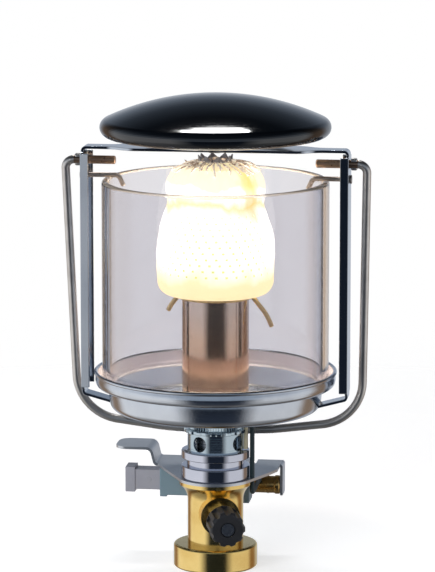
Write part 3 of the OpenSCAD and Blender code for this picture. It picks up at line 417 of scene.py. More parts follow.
# %% Finishes on the CAD nodes
BY_SLOT = {
    "black_enamel": enamel, "chrome_plate": chrome, "satin_steel": satin_wire, "clear_glass": glass,
    "heat_steel": tube_steel, "charred_steel": charred, "mantle_ash": ceramic, "zinc_plate": zinc,
    "igniter_plastic": housing_plastic, "button_plastic": button_plastic, "brass": brass, "white_ceramic": ceramic,
    "black_rubber": rubber, "knob_plastic": knob_plastic, "spring_steel": steel}
BY_NODE = {"tray": tray_chrome, "air_tube": collar_chrome, "coupling": collar_chrome, "lock_nut": collar_chrome}
slot_of = {row["node"]: row["material_slot"] for row in frame["record"]["subparts"]}
for name, node in nodes.items():
    for slot in node.material_slots:
        slot.material = BY_NODE.get(name, BY_SLOT[slot_of[name]])
print(f"{len(nodes)} nodes dressed")

# %% [markdown]
# ## Making a piece
# Every new piece ends the same way: its bmesh becomes a mesh at the origin, it gets a finish, it rides on a body, and
# it may stand for a CAD node. A small live bevel catches the light on edges, and weighted normals keep flat faces
# flat. A second helper gives some faces of a piece another finish.

# %% Piece maker
SAME_POINT = 1e-7
BEVEL_FROM = radians(35)


def modify(obj, name, kind, **options):
    modifier = obj.modifiers.new(name, kind)
    for option, value in options.items():
        setattr(modifier, option, value)


def make_piece(name, bm, material, node=None, body="lantern", thickness=0, bevel=0, sharp=40,
               weigh=True):
    bmesh.ops.remove_doubles(bm, verts=bm.verts, dist=SAME_POINT)
    mesh = bpy.data.meshes.new(name)
    bm.to_mesh(mesh)
    bm.free()
    mesh.materials.append(material)
    mesh.shade_smooth()
    mesh.set_sharp_from_angle(angle=radians(sharp))
    obj = bpy.data.objects.new(name, mesh)
    scene.collection.objects.link(obj)
    if thickness:
        modify(obj, "wall", "SOLIDIFY", thickness=thickness * MM, offset=-1, use_even_offset=True)
    if bevel:
        modify(obj, "edge", "BEVEL", width=bevel * MM, segments=2, limit_method="ANGLE", angle_limit=BEVEL_FROM,
               harden_normals=True)
    if weigh:
        modify(obj, "flats", "WEIGHTED_NORMAL", keep_sharp=True)
    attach(obj, body)
    if node:
        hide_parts(node)
    print(f"{name}: {len(mesh.polygons)} faces, on {body}")
    return obj


def paint(obj, materials, choose):
    for material in materials:
        obj.data.materials.append(material)
    for face in obj.data.polygons:
        face.material_index = choose(face)


print("piece maker ready")

# %% [markdown]
# ## Bending wire and strip
# The bail, the clips and the lead are bent wire, and the frame and the bracket are bent strip. A wire bender feeds a
# straight length and then turns it round a former, and this helper does the same: it extrudes the open end of a shape
# along its heading, and spins it round the centre of the bend. A ring of edges gives a wire, and a single edge a strip.
# Each step is a run, the radius of a bend, its angle and, where a strip's width changes, its new half width.

# %% Shape helpers
def round_off(bm, geom, radius, segments, affect="EDGES"):
    bmesh.ops.bevel(bm, geom=geom, offset=radius * MM, offset_type="OFFSET", segments=segments, profile=0.5,
                    affect=affect, material=-1)


def spin_round(bm, geom, steps):
    bmesh.ops.spin(bm, geom=geom, cent=(0, 0, 0), axis=Z, dvec=(0, 0, 0), angle=2 * pi, steps=steps,
                   use_merge=True)


def face_out(bm):
    bmesh.ops.recalc_face_normals(bm, faces=bm.faces)


def face_up(bm, face):
    if face.normal.z < 0:
        bmesh.ops.reverse_faces(bm, faces=bm.faces)


def placed(at, turn, axis):
    return Matrix.Translation(Vector(at) * MM) @ Matrix.Rotation(turn, 4, axis)


def pin(bm, radius, length, place, segments=24):
    return bmesh.ops.create_cone(bm, cap_ends=True, segments=segments, radius1=radius * MM, radius2=radius * MM,
                                 depth=length * MM, matrix=place)["verts"]


print("shape helpers ready")

# %% Sweep helper
BEND_STEP = 6
END_ROUND = 0.4


def verts_of(geom):
    return [g for g in geom if isinstance(g, bmesh.types.BMVert)]


def edges_between(verts):
    among = set(verts)
    return list({e for v in verts for e in v.link_edges if e.other_vert(v) in among})


def sweep(bm, end, at, heading, axis, steps):
    at, heading, axis = Vector(at) * MM, Vector(heading).normalized(), Vector(axis).normalized()
    half = max(abs((v.co - at).dot(axis)) for v in end)
    for run, radius, turn, *width in steps:
        if run:
            end = verts_of(bmesh.ops.extrude_edge_only(bm, edges=edges_between(end))["geom"])
            bmesh.ops.translate(bm, verts=end, vec=heading * run * MM)
            at = at + heading * run * MM
        for new_half in width:
            for v in end:
                v.co += axis * (v.co - at).dot(axis) * (new_half * MM / half - 1)
            half = new_half * MM
        if turn:
            centre = at + axis.cross(heading) * radius * MM * (1 if turn > 0 else -1)
            bent = bmesh.ops.spin(bm, geom=end + edges_between(end), cent=centre, axis=axis, dvec=(0, 0, 0),
                                  angle=radians(turn), steps=max(4, round(abs(turn) / BEND_STEP)), use_merge=False)
            end = verts_of(bent["geom_last"])
            rotation = Matrix.Rotation(radians(turn), 3, axis)
            at = centre + rotation @ (at - centre)
            heading = rotation @ heading
    return end, at / MM, heading


def wire_start(bm, radius, at, heading, axis, sides=20):
    heading, axis = Vector(heading).normalized(), Vector(axis).normalized()
    turn = Matrix((axis.cross(heading), axis, heading)).transposed().to_4x4()
    place = Matrix.Translation(Vector(at) * MM) @ turn
    return bmesh.ops.create_circle(bm, cap_ends=False, radius=radius * MM, segments=sides, matrix=place)["verts"]


def close_ends(bm, radius):
    caps = bmesh.ops.holes_fill(bm, edges=[e for e in bm.edges if e.is_boundary], sides=0)["faces"]
    round_off(bm, list({e for face in caps for e in face.edges}), END_ROUND * radius, 3)
    face_out(bm)


def wire(radius, at, heading, axis, steps, sides=20):
    bm = bmesh.new()
    sweep(bm, wire_start(bm, radius, at, heading, axis, sides), at, heading, axis, steps)
    close_ends(bm, radius)
    return bm


print("sweep helpers ready")

# %% [markdown]
# ## The bail
# The bail is one length of satin wire. Its pins turn in holes in the two uprights, a crimp just outside each hole keeps
# it from sliding, and its long legs come together in a shallow arch below the tray. It lies in a plane that leans back
# past the collar, and the same formulas as in the CAD make its halves meet. The pins are brown inside the uprights.

# %% Bail
UPRIGHT_X = 39.6
TRAY_Z, TRAY_LOW_R = 47.7, 31.5
PIVOT_Z = 121.5
BAIL_R, BAIL_CLEARANCE, BAIL_OUT, PIN_IN = 1.25, 1.6, 5, 10
BAIL_TAPER_TURN, BAIL_SLOPE_TURN = 1.4, 10
BAIL_TAPER, BAIL_SLOPE = radians(BAIL_TAPER_TURN), radians(BAIL_SLOPE_TURN)
TOP_BEND, LOW_BEND = 2.6, 14
BAIL_REST_Y = 9.9
PIN_BROWN_GAP, PIN_BROWN_DROP = 0.4, 2
bail_leg_x = UPRIGHT_X + BAIL_OUT
bail_drop = hypot(TRAY_LOW_R, PIVOT_Z - TRAY_Z) + BAIL_R + BAIL_CLEARANCE
lean = asin(BAIL_REST_Y / bail_drop)
rise_per_reach = tan(BAIL_SLOPE / 2)
arch_reach = bail_leg_x - TOP_BEND * (1 - cos(BAIL_TAPER)) + LOW_BEND * (sin(BAIL_SLOPE) - cos(BAIL_TAPER))
bends_drop = TOP_BEND * (1 + sin(BAIL_TAPER)) + LOW_BEND * (cos(BAIL_SLOPE) - sin(BAIL_TAPER))
leg_run = ((bail_drop - bends_drop - rise_per_reach * arch_reach)
           / (cos(BAIL_TAPER) - rise_per_reach * sin(BAIL_TAPER)))
arch_r = (arch_reach - leg_run * sin(BAIL_TAPER)) / sin(BAIL_SLOPE)
pin_start = UPRIGHT_X - PIN_IN
pin_run = bail_leg_x - TOP_BEND - pin_start
plane_normal = (0, cos(lean), sin(lean))
top_turn = 90 + BAIL_TAPER_TURN
low_turn = 90 - BAIL_SLOPE_TURN - BAIL_TAPER_TURN
bm = wire(BAIL_R, (pin_start, 0, PIVOT_Z), X, plane_normal,
          [(pin_run, TOP_BEND, top_turn), (leg_run, LOW_BEND, low_turn), (0, arch_r, 2 * BAIL_SLOPE_TURN),
           (0, LOW_BEND, low_turn), (leg_run, TOP_BEND, top_turn), (pin_run, 0, 0)])
CRIMP, CRIMP_GAP, CRIMP_ROUND = (1.9, 1.7, 3.6), 0.3, 0.5
for side in (-1, 1):
    place = (placed((side * (UPRIGHT_X + CRIMP_GAP + CRIMP[0] / 2), 0, PIVOT_Z), lean, "X")
             @ Matrix.Diagonal((*(c * MM for c in CRIMP), 1)))
    ear = bmesh.ops.create_cube(bm, size=1, matrix=place)["verts"]
    round_off(bm, list({e for v in ear for e in v.link_edges}), CRIMP_ROUND, 3)


def between_uprights(face):
    return int(abs(face.center.x) < (UPRIGHT_X - PIN_BROWN_GAP) * MM and face.center.z > (PIVOT_Z - PIN_BROWN_DROP) * MM)


paint(make_piece("bail_wire", bm, satin_wire, "bail", "bail", sharp=60), [pin_steel], between_uprights)
print(f"legs {leg_run:.1f} mm, arch radius {arch_r:.0f} mm")

# %% [markdown]
# ## The glass and its clips
# The globe is a plain glass cylinder whose cut ends are melted round in a flame, so the section gets round corners
# before it is spun. Two thin wires riveted to the uprights hook over the rim.

# %% Lathe helper
def lathe(points, steps):
    bm = bmesh.new()
    verts = [bm.verts.new((r * MM, 0, z * MM)) for r, z, *_ in points]
    for a, b in zip(verts, verts[1:] + verts[:1]):
        bm.edges.new((a, b))
    for vert, (_, _, *corner) in zip(verts, points):
        for radius in corner:
            round_off(bm, [vert], radius, 4, "VERTICES")
    spin_round(bm, bm.verts[:] + bm.edges[:], steps)
    bmesh.ops.remove_doubles(bm, verts=bm.verts, dist=SAME_POINT)
    face_out(bm)
    return bm


print("lathe ready")

# %% Glass globe
GLASS_R, GLASS_WALL, GLASS_LOW, GLASS_TOP = 33.5, 2.2, 55.5, 116.2
LOW_ROUND, TOP_ROUND, RIM_DEPTH = 0.9, 1.0, 0.7
inner = GLASS_R - GLASS_WALL
bm = lathe([(GLASS_R, GLASS_LOW, LOW_ROUND), (GLASS_R, GLASS_TOP, TOP_ROUND), (inner, GLASS_TOP, TOP_ROUND),
            (inner, GLASS_LOW, LOW_ROUND)], 160)
paint(make_piece("globe", bm, glass, "glass_globe", sharp=80), [glass_rim],
      lambda face: int(face.center.z > (GLASS_TOP - RIM_DEPTH) * MM))

# %% Glass clips
CLIP_R, CLIP_GAP, CLIP_PAST, CLIP_BEND, CLIP_TURN, CLIP_TIP = 0.72, 0.1, 1.6, 1.5, -65, 2.6
RIVET_R, RIVET_H, RIVET_ROUND = 1.3, 0.6, 0.2
clip_z = GLASS_TOP + CLIP_R + CLIP_GAP
clip_run = UPRIGHT_X - GLASS_R + GLASS_WALL + CLIP_PAST
for node, side in (("glass_clip_left", -1), ("glass_clip_right", 1)):
    start = (side * (UPRIGHT_X + 0.05), 0, clip_z)
    bm = wire(CLIP_R, start, (-side, 0, 0), Y, [(clip_run, CLIP_BEND, CLIP_TURN * side), (CLIP_TIP, 0, 0)], 16)
    head = pin(bm, RIVET_R, RIVET_H, placed((side * (UPRIGHT_X + 0.35), 0, clip_z), pi / 2, "Y"))
    rims = [e for e in edges_between(head) if len(e.link_faces) == 2 and e.calc_face_angle() > 1]
    round_off(bm, rims, RIVET_ROUND, 2)
    make_piece(node.replace("glass_clip", "hook_wire"), bm, clip_wire, node, sharp=60)

# %% [markdown]
# ## The frame
# One strip of chromed steel makes the whole frame. Below the lid it is wide and leaf shaped, at each bend it is narrow,
# and along the uprights its sides are folded in to make a stiff channel. We sweep half of it as a thin sheet, fold the
# flanges, round the folds, mirror it, and only then give it a wall.

# %% Frame
STRAP_Z, STRIP_T, BEND_R = 125.8, 0.8, 1.5
FOOT_TIP_X, FOOT_TIP_Z = 29.3, 48.65
FLANGE, FLANGE_FLARE, FOLD_ROUND, FOLD_ANGLE = 2.4, 0.42, 0.9, 1.2
FOOT_SLOPE = 15
UPRIGHT_HALF, STRAP_HALF, LEAF_HALF = 4.5, 2.8, 6
LEAF = [(23, 0, 0), (1.6, 0, 0, 5.9), (1.6, 0, 0, 5.4), (1.4, 0, 0, 4.5), (1.4, 0, 0, 3.6), (1.6, 0, 0, 3.0),
        (1.6, 0, 0, STRAP_HALF)]
LEAF_L = 32.2
LOW_RAMP, LOW_MIDDLE, TOP_RAMP, TOP_MIDDLE = 1, 3.6, 0.6, 3.7
foot_turn = 90 - FOOT_SLOPE
corner_z = FOOT_TIP_Z + (UPRIGHT_X - FOOT_TIP_X) * tan(radians(FOOT_SLOPE))
bend_start = corner_z + BEND_R * tan(radians(foot_turn / 2))
flange_low, flange_top = corner_z + BEND_R + LOW_RAMP, STRAP_Z - BEND_R - TOP_RAMP
foot_run = (UPRIGHT_X - FOOT_TIP_X) / cos(radians(FOOT_SLOPE)) - BEND_R * tan(radians(foot_turn / 2))
bm = bmesh.new()
end = [bm.verts.new((0, y * MM, STRAP_Z * MM)) for y in (-LEAF_HALF, LEAF_HALF)]
bm.edges.new(end)
sweep(bm, end, (0, 0, STRAP_Z), X, Y, LEAF + [
    (UPRIGHT_X - BEND_R - LEAF_L, BEND_R, 90), (TOP_RAMP / 2, 0, 0, TOP_MIDDLE),
    (STRAP_Z - BEND_R - TOP_RAMP / 2 - flange_top, 0, 0, UPRIGHT_HALF), (flange_top - flange_low, 0, 0),
    (LOW_RAMP / 2, 0, 0, LOW_MIDDLE), (LOW_RAMP / 2, 0, 0, STRAP_HALF),
    (flange_low - LOW_RAMP - bend_start, BEND_R, foot_turn), (foot_run, 0, 0)])
folds = [e for e in bm.edges
         if e.is_boundary and all(abs(abs(v.co.y) - UPRIGHT_HALF * MM) < 1e-6 for v in e.verts)]
for v in verts_of(bmesh.ops.extrude_edge_only(bm, edges=folds)["geom"]):
    v.co += Vector((-FLANGE, FLANGE_FLARE if v.co.y > 0 else -FLANGE_FLARE, 0)) * MM
round_off(bm, [e for e in bm.edges if len(e.link_faces) == 2 and e.calc_face_angle() > FOLD_ANGLE], FOLD_ROUND, 4)
bmesh.ops.mirror(bm, geom=bm.verts[:] + bm.edges[:] + bm.faces[:], matrix=Matrix.Identity(4), merge_dist=1e-6,
                 axis="X")
face_out(bm)
face_up(bm, min(bm.faces, key=lambda f: abs(f.calc_center_median().x)))
make_piece("frame_strip", bm, chrome, "frame", thickness=STRIP_T, bevel=0.14)

# %% [markdown]
# ## The mantle
# The mantle is a knitted sack that has burnt to a thin shell of oxide, and it glows. We draw half its outline, spin it
# into a grid of faces, inset every third face in every other row and delete what is left inside, which leaves real
# holes in staggered rows. A little noise makes it hang unevenly, and pleats gather its top. A lining just inside it
# stands for the flame, and shows through the holes as a greener yellow.

# %% Glow
HOT_SPOT, SPOT_COLOUR = (10.8, -8.4, 115.5), (0.80, 0.43, 0.06, 1)
SPOT_IN, SPOT_OUT, SPOT_SHARE = 0.004, 0.0105, 0.8
STREAK = (1, 1, 0.25)
PATCH_REACH, STREAK_REACH, SPOT_REACH = 0.0075, 0.0025, 0.009


def glow_finish(name, stops, strength):
    material, tree, shader = new_material(name, Base_Color=(0.25, 0.22, 0.16, 1), Roughness=0.9,
                                          Emission_Strength=strength)
    where = place_in(tree)
    drawn = vector_maths(tree, "MULTIPLY", where, STREAK)
    streaks = noise_node(tree, drawn, 320, 3)
    patchy = maths(tree, "MULTIPLY_ADD", noise_node(tree, where, 110, 3), PATCH_REACH, height_of(tree, where))
    uneven = maths(tree, "MULTIPLY_ADD", streaks, STREAK_REACH, patchy)
    bands = ramp_node(tree, uneven, [(z, rgba(colour)) for z, colour in stops])
    centre = [c * MM * share for c, share in zip(HOT_SPOT, STREAK)]
    spot = vector_maths(tree, "DISTANCE", drawn, centre, out="Value")
    ragged = maths(tree, "MULTIPLY_ADD", streaks, SPOT_REACH, spot)
    near = span(tree, ragged, SPOT_IN, SPOT_OUT, start=SPOT_SHARE, end=0, smooth=True)
    knit = bump_node(tree, 0.3, noise_node(tree, where, 900, 2), 0.3 * MM)
    feed(tree, shader, Emission_Color=blend_colours(tree, near, bands, SPOT_COLOUR), Normal=knit)
    return material


white, cream, straw_glow, pale_ash = (1.0, 0.98, 0.93), (0.82, 0.63, 0.33), (0.86, 0.64, 0.32), (0.64, 0.56, 0.42)
glow_outside = glow_finish("mantle_glow", [
    (0.086, cream), (0.0925, cream), (0.1, white), (0.1128, white), (0.115, straw_glow), (0.1172, white),
    (0.1188, white), (0.1207, pale_ash), (0.1255, pale_ash), (0.1285, (0.42, 0.31, 0.2))], 1.65)
glow_inside = glow_finish("mantle_flame", [
    (0.087, (0.92, 0.84, 0.5)), (0.0905, (0.42, 0.49, 0.07)), (0.099, (0.45, 0.52, 0.1)), (0.104, (0.56, 0.61, 0.18)),
    (0.112, (0.8, 0.8, 0.45)), (0.125, (0.6, 0.5, 0.3))], 1.5)
print("mantle materials ready")

# %% Mantle helpers
def resample(points, gap):
    line, left = [Vector(points[0])], gap
    for a, b in zip(points, points[1:]):
        a, b = Vector(a), Vector(b)
        along = left
        while along <= (b - a).length:
            line.append(a + (b - a).normalized() * along)
            along += gap
        left = along - (b - a).length
    return line


def turn_of(point):
    return atan2(point.y, point.x) % (2 * pi)


def spin_outline(bm, points, steps):
    verts = [bm.verts.new((r * MM, 0, z * MM)) for r, z in points]
    chain = [bm.edges.new(pair) for pair in zip(verts, verts[1:])]
    bmesh.ops.smooth_vert(bm, verts=verts[1:-1], factor=0.5, use_axis_x=True, use_axis_z=True)
    spin_round(bm, verts + chain, steps)


def share_above(v, low, depth):
    return min(1, max(0, (v.co.z / MM - low) / depth))


print("mantle helpers ready")

# %% Mantle
MANTLE_OUTLINE = [
    (11.9, 82.5), (13.6, 82.4), (15.2, 82.8), (16.4, 83.9), (17.1, 86.0), (17.3, 90), (17.3, 95), (17.1, 99),
    (16.6, 102.5), (15.7, 105.5), (14.7, 107.6), (14.2, 109.2), (14.4, 110.8), (14.5, 113.0), (14.3, 115.2),
    (13.6, 117.2), (12.4, 118.8), (10.4, 120.0), (8.2, 120.8), (6.2, 121.4)]
COLUMNS, ROW, LINING_COLUMNS = 108, 0.88, 72
HOLE_ROWS, HOLE_EVERY, HOLE_INSET = range(7, 29), 3, 0.11
PLEATS, PLEAT_DEPTH, SWELL, RIPPLE = 26, 0.4, 0.55, 0.2
LINING_GAP, LINING_RAISE = 0.75, 0.1
HEM_Z, HEM_H, GATHER_Z, GATHER_H = 83, 3, 112, 6
outline = resample(MANTLE_OUTLINE, ROW)
bm = bmesh.new()
spin_outline(bm, outline, COLUMNS)
face_out(bm)
holes = []
for face in bm.faces:
    centre = face.calc_center_median()
    row = round((centre.z / MM - MANTLE_OUTLINE[0][1]) / ROW)
    column = int(turn_of(centre) / (2 * pi) * COLUMNS)
    if row in HOLE_ROWS and row % 2 == 0 and (column + row // 2) % HOLE_EVERY == 0:
        holes.append(face)
bmesh.ops.inset_individual(bm, faces=holes, thickness=HOLE_INSET * MM, use_even_offset=True)
bmesh.ops.delete(bm, geom=holes, context="FACES")
shell = set(bm.faces)
spin_outline(bm, [(r - LINING_GAP, z + LINING_RAISE) for r, z in MANTLE_OUTLINE], LINING_COLUMNS)
for face in bm.faces:
    face.material_index = int(face not in shell)
for v in bm.verts:
    out = Vector((v.co.x, v.co.y, 0)).normalized()
    swell = SWELL * noise.noise(v.co * 110 + Vector((3.1, 0.7, 1.9))) + RIPPLE * noise.noise(v.co * 330)
    pleat = PLEAT_DEPTH * share_above(v, GATHER_Z, GATHER_H) * sin(PLEATS * turn_of(v.co))
    v.co += out * (swell * share_above(v, HEM_Z, HEM_H) + pleat) * MM
sack = make_piece("mantle_sack", bm, glow_outside, "mantle", thickness=0.3, sharp=80, weigh=False)
sack.visible_shadow = False
sack.data.materials.append(glow_inside)
print(f"{len(outline)} rows, {len(holes)} holes")

# %% [markdown]
# ## The gathered top
# Above its shoulder the sack was tied round a crown of steel teeth, and the loose threads there have charred. Each
# tooth is a small folded blade that stands up from the hub. The threads are short bent wires that end in a point,
# scattered with a fixed seed so that every run gives the same tangle.

# %% Crown
ROD_LOW, HUB_Z, HUB_H, ROD_R, HUB_R = 83.25, 116.3, 0.8, 0.9, 3
TEETH, TOOTH_HALF, TOOTH_SHOULDER, TOOTH_TOP = 8, 1.85, 5.4, 7.3
TOOTH_FOLD, TIP_FOLD, FIRST_TOOTH = 0.55, 0.2, 0.4
TOOTH_LEAN = radians(15)
bm = lathe([(0, ROD_LOW), (ROD_R, ROD_LOW), (ROD_R, HUB_Z), (HUB_R, HUB_Z), (HUB_R, HUB_Z + HUB_H),
            (0, HUB_Z + HUB_H)], 32)
make_piece("crown_rod", bm, charred, "mantle_support")
bm = bmesh.new()
for i in range(TEETH):
    place = (Matrix.Rotation(2 * pi * (i + FIRST_TOOTH) / TEETH, 4, "Z")
             @ placed((HUB_R - 0.2, 0, HUB_Z + HUB_H / 2), TOOTH_LEAN, "Y"))
    tip = bm.verts.new(place @ (Vector((TIP_FOLD, 0, TOOTH_TOP)) * MM))
    middle = [bm.verts.new(place @ (Vector((TOOTH_FOLD, 0, z)) * MM)) for z in (0, TOOTH_SHOULDER)]
    for side in (-1, 1):
        edge = [bm.verts.new(place @ (Vector((0, side * TOOTH_HALF, z)) * MM)) for z in (0, TOOTH_SHOULDER)]
        bm.faces.new([middle[0], edge[0], edge[1], middle[1]][::side])
        bm.faces.new([middle[1], edge[1], tip][::side])
face_out(bm)
make_piece("crown_teeth", bm, charred, thickness=0.35, bevel=0.06)

# %% Charred thread
# The threads also glow faintly in their own colours: painted light, for the mantle's glow falling on them.
threads, tree, shader = new_material("charred_thread", Roughness=0.85, Emission_Strength=0.35)
where = place_in(tree)
patches = noise_node(tree, where, 420, 2)
uneven = maths(tree, "MULTIPLY_ADD", patches, 9 * MM, height_of(tree, where))
ash, straw, brown, char = map(rgba, ((0.92, 0.84, 0.72), (0.72, 0.56, 0.42), (0.26, 0.15, 0.09), (0.13, 0.085, 0.06)))
burnt = ramp_node(tree, uneven, [
    (0.118, brown), (0.1215, straw), (0.1232, ash), (0.1243, straw), (0.1252, ash), (0.1262, brown), (0.1272, ash),
    (0.1284, brown), (0.131, char)])
feed(tree, shader, Base_Color=burnt, Emission_Color=burnt, Normal=bump_node(tree, 0.4, patches))
print("thread material ready")

# %% Charred threads
THREADS, THREAD_Z = 260, 121.3
dice = random.Random(11)
strand = bpy.data.meshes.new("strand")
bm = bmesh.new()
for _ in range(THREADS):
    angle = dice.uniform(0, 2 * pi)
    out, along, up = Vector((cos(angle), sin(angle), 0)), Vector((-sin(angle), cos(angle), 0)), Vector(Z)
    start_r = dice.uniform(3.2, 6.4)
    at = out * start_r + up * (THREAD_Z + dice.uniform(0, 1.1) * (6.6 - start_r) / 3.4)
    dip = radians(dice.uniform(4, 26))
    heading = (out * cos(dip) - up * sin(dip) + along * dice.uniform(-0.45, 0.45)).normalized()
    axis = along + up * dice.uniform(-0.5, 0.5)
    axis = (axis - heading * axis.dot(heading)).normalized()
    bends = [dice.uniform(2, 14), dice.uniform(4, 22), dice.uniform(-55, 60)]
    length = dice.uniform(0.7, 2.6)
    radius = dice.uniform(0.2, 0.36)
    hair = bmesh.new()
    tip, tip_at, _ = sweep(hair, wire_start(hair, radius, at, heading, axis, 6), at, heading, axis,
                           [(length, 3, bends[0]), (length, 2.5, bends[1]), (0.6 * length, 1, bends[2]),
                            (0.4 * length, 0, 0)])
    bmesh.ops.pointmerge(hair, verts=tip, merge_co=tip_at * MM)
    hair.to_mesh(strand)
    hair.free()
    bm.from_mesh(strand)
bpy.data.meshes.remove(strand)
face_out(bm)
make_piece("charred_threads", bm, threads, sharp=80, weigh=False)

# %% [markdown]
# ## The wire under the mantle
# A spring wire goes once round the burner tube and holds the mantle's hem. Its two ends stick out and bend down.

# %% Mantle clip
CLIP_RING_R, CLIP_RING_Z, SPRING_R, SPRING_SIDES = 10.7, 82.0, 0.7, 12
bm = bmesh.new()
ring = wire_start(bm, SPRING_R, (CLIP_RING_R, 0, CLIP_RING_Z), Y, Z, SPRING_SIDES)
spin_round(bm, ring + edges_between(ring), 72)
for side, dip, steps in ((1, 51, [(5.2, 14, 16), (2.0, 0, 0)]), (-1, 52, [(3.2, 10, 8), (1.6, 0, 0)])):
    heading = (side * cos(radians(dip)), 0, -sin(radians(dip)))
    bent = [(run, radius, side * turn) for run, radius, turn in steps]
    at = (side * CLIP_RING_R, 0, CLIP_RING_Z)
    sweep(bm, wire_start(bm, SPRING_R, at, heading, Y, SPRING_SIDES), at, heading, Y, bent)
close_ends(bm, SPRING_R)
make_piece("mantle_spring", bm, hot_wire, "mantle_clip", sharp=60)

# %% [markdown]
# ## The tray
# The tray is pressed from one sheet: a floor, a rounded lower wall, a ledge for the globe, an upper wall that swells a
# little, and a rolled bead. Those curves break up the reflections, so its section is drawn with arcs before it is spun.
# A boolean cuts the slots for the frame's feet. Inside, light is painted into the plating: a warm tint from the ledge
# up for the flame's light, and a blue-grey tint below it for the cool reflection in the lower wall and floor.

# %% Cutting helper
def cut(bm, cutters):
    pair = []
    for shape in (bm, cutters):
        obj = bpy.data.objects.new("cut", bpy.data.meshes.new("cut"))
        shape.to_mesh(obj.data)
        shape.free()
        scene.collection.objects.link(obj)
        pair.append(obj)
    body, tool = pair
    modify(body, "difference", "BOOLEAN", object=tool, solver="EXACT")
    done = bmesh.new()
    done.from_object(body, bpy.context.evaluated_depsgraph_get())
    for obj in pair:
        mesh = obj.data
        bpy.data.objects.remove(obj)
        bpy.data.meshes.remove(mesh)
    return done


def block(bm, low, high):
    low, high = Vector(low) * MM, Vector(high) * MM
    place = Matrix.Translation((low + high) / 2) @ Matrix.Diagonal((*(high - low), 1))
    return bmesh.ops.create_cube(bm, size=1, matrix=place)["verts"]


def arc_points(centre, radius, start, end, count):
    turns = [radians(start + (end - start) * i / count) for i in range(count + 1)]
    return [(centre[0] + radius * cos(a), centre[1] + radius * sin(a)) for a in turns]


print("cutting helper ready")

# %% Tray
TRAY_FLOOR, STEP_Z, LEDGE_Z, RIM_Z = 48.3, 54.9, 55.5, 59
TRAY_HOLE = 6.05
BEAD_R = 0.62
SLOT_HALF, SLOT_LOW, SLOT_HIGH = 3, TRAY_FLOOR + 0.35, TRAY_FLOOR + 2.6
profile = (
    [(TRAY_HOLE, TRAY_Z), (26.6, TRAY_Z)] + arc_points((28.6, TRAY_Z + 2.7), 2.7, -90, -8, 12)
    + [(31.45, 51.6), (31.55, 53.0), (31.45, 54.2)] + arc_points((31.9, 54.4), 0.5, 180, 90, 4)
    + [(33.0, STEP_Z)] + arc_points((34.1, STEP_Z + 1.35), 1.35, -90, 0, 8)
    + [(35.58, 56.7), (35.55, 57.3), (35.4, 57.9), (35.3, 58.35)]
    + arc_points((35.35, RIM_Z), BEAD_R, -70, 210, 18)
    + [(34.8, 58.0), (34.85, 56.6)] + arc_points((34.0, LEDGE_Z + 0.9), 0.9, 0, -90, 6)
    + arc_points((31.8, LEDGE_Z - 0.9), 0.9, 90, 180, 6) + [(30.9, 52.6)]
    + arc_points((28.8, TRAY_FLOOR + 2.1), 2.1, 0, -90, 8) + [(TRAY_HOLE, TRAY_FLOOR)])
slots = bmesh.new()
for low, high in ((-34, -29), (29, 34)):
    block(slots, (low, -SLOT_HALF, SLOT_LOW), (high, SLOT_HALF, SLOT_HIGH))


# Picks the inside faces for the painted light: 1 above the ledge gets the warm flame light, 2 below it the cool
# reflection.
def tray_side(face):
    inward = -face.normal.dot(Vector((face.center.x, face.center.y, 0)).normalized())
    inside = (inward > 0.3 or face.normal.z > 0.5) and face.center.z < (RIM_Z + 0.2) * MM
    above_ledge = face.center.z > (LEDGE_Z - 0.4) * MM
    return (1 if above_ledge else 2) if inside else 0


tray = make_piece("pressed_tray", cut(lathe(profile, 192), slots), tray_chrome, "tray", sharp=50)
paint(tray, [flame_lit_chrome, floor_reflection_chrome], tray_side)

# %% [markdown]
# ## The collar
# Under the tray stand three turned pieces. The air tube is a thin grooved shell with four holes through which the
# threaded sleeve inside it shows, the coupling has two smooth rings, and a knurled nut locks them to the tray.

# %% Air tube
AIR_Z, AIR_TOP, AIR_R, AIR_WALL = 35.4, 40.9, 8.3, 0.9
FLANGE_R, FLANGE_TOP, NECK_R, NECK_TOP, NECK_WALL = 9.3, 41.9, 6, 52.3, 1.2
HOLES, HOLE_R, HOLE_TURN, HOLE_Z = 4, 2.3, -28, 38.05
GROOVE_PITCH, GROOVE_DEPTH, GROOVE_HALF, GROOVE_EDGE = 0.5, 0.025, 0.12, 0.5
NOTCHES, NOTCH_DEPTH = 18, 0.5
grooves = []
z = AIR_Z + GROOVE_EDGE
while z < AIR_TOP - GROOVE_EDGE:
    grooves += [(AIR_R, z), (AIR_R - GROOVE_DEPTH, z + GROOVE_HALF), (AIR_R, z + 2 * GROOVE_HALF)]
    z += GROOVE_PITCH
bm = lathe([(AIR_R - AIR_WALL, AIR_Z), (AIR_R, AIR_Z)] + grooves
           + [(AIR_R, AIR_TOP), (FLANGE_R, AIR_TOP, 0.2), (FLANGE_R, FLANGE_TOP, 0.2), (NECK_R, FLANGE_TOP),
              (NECK_R, NECK_TOP), (NECK_R - NECK_WALL, NECK_TOP), (NECK_R - NECK_WALL, AIR_TOP),
              (AIR_R - AIR_WALL, AIR_TOP)], 144)
for v in bm.verts:
    if hypot(v.co.x, v.co.y) > (AIR_R + 0.3) * MM and int(turn_of(v.co) / pi * NOTCHES) % 2:
        v.co.xy *= 1 - NOTCH_DEPTH / FLANGE_R
bores = bmesh.new()
for i in range(HOLES):
    place = Matrix.Rotation(radians(HOLE_TURN + 90 * i), 4, "Z") @ placed((AIR_R, 0, HOLE_Z), pi / 2, "Y")
    pin(bores, HOLE_R, 4, place, 40)
make_piece("air_shell", cut(bm, bores), collar_chrome, "air_tube", sharp=30)

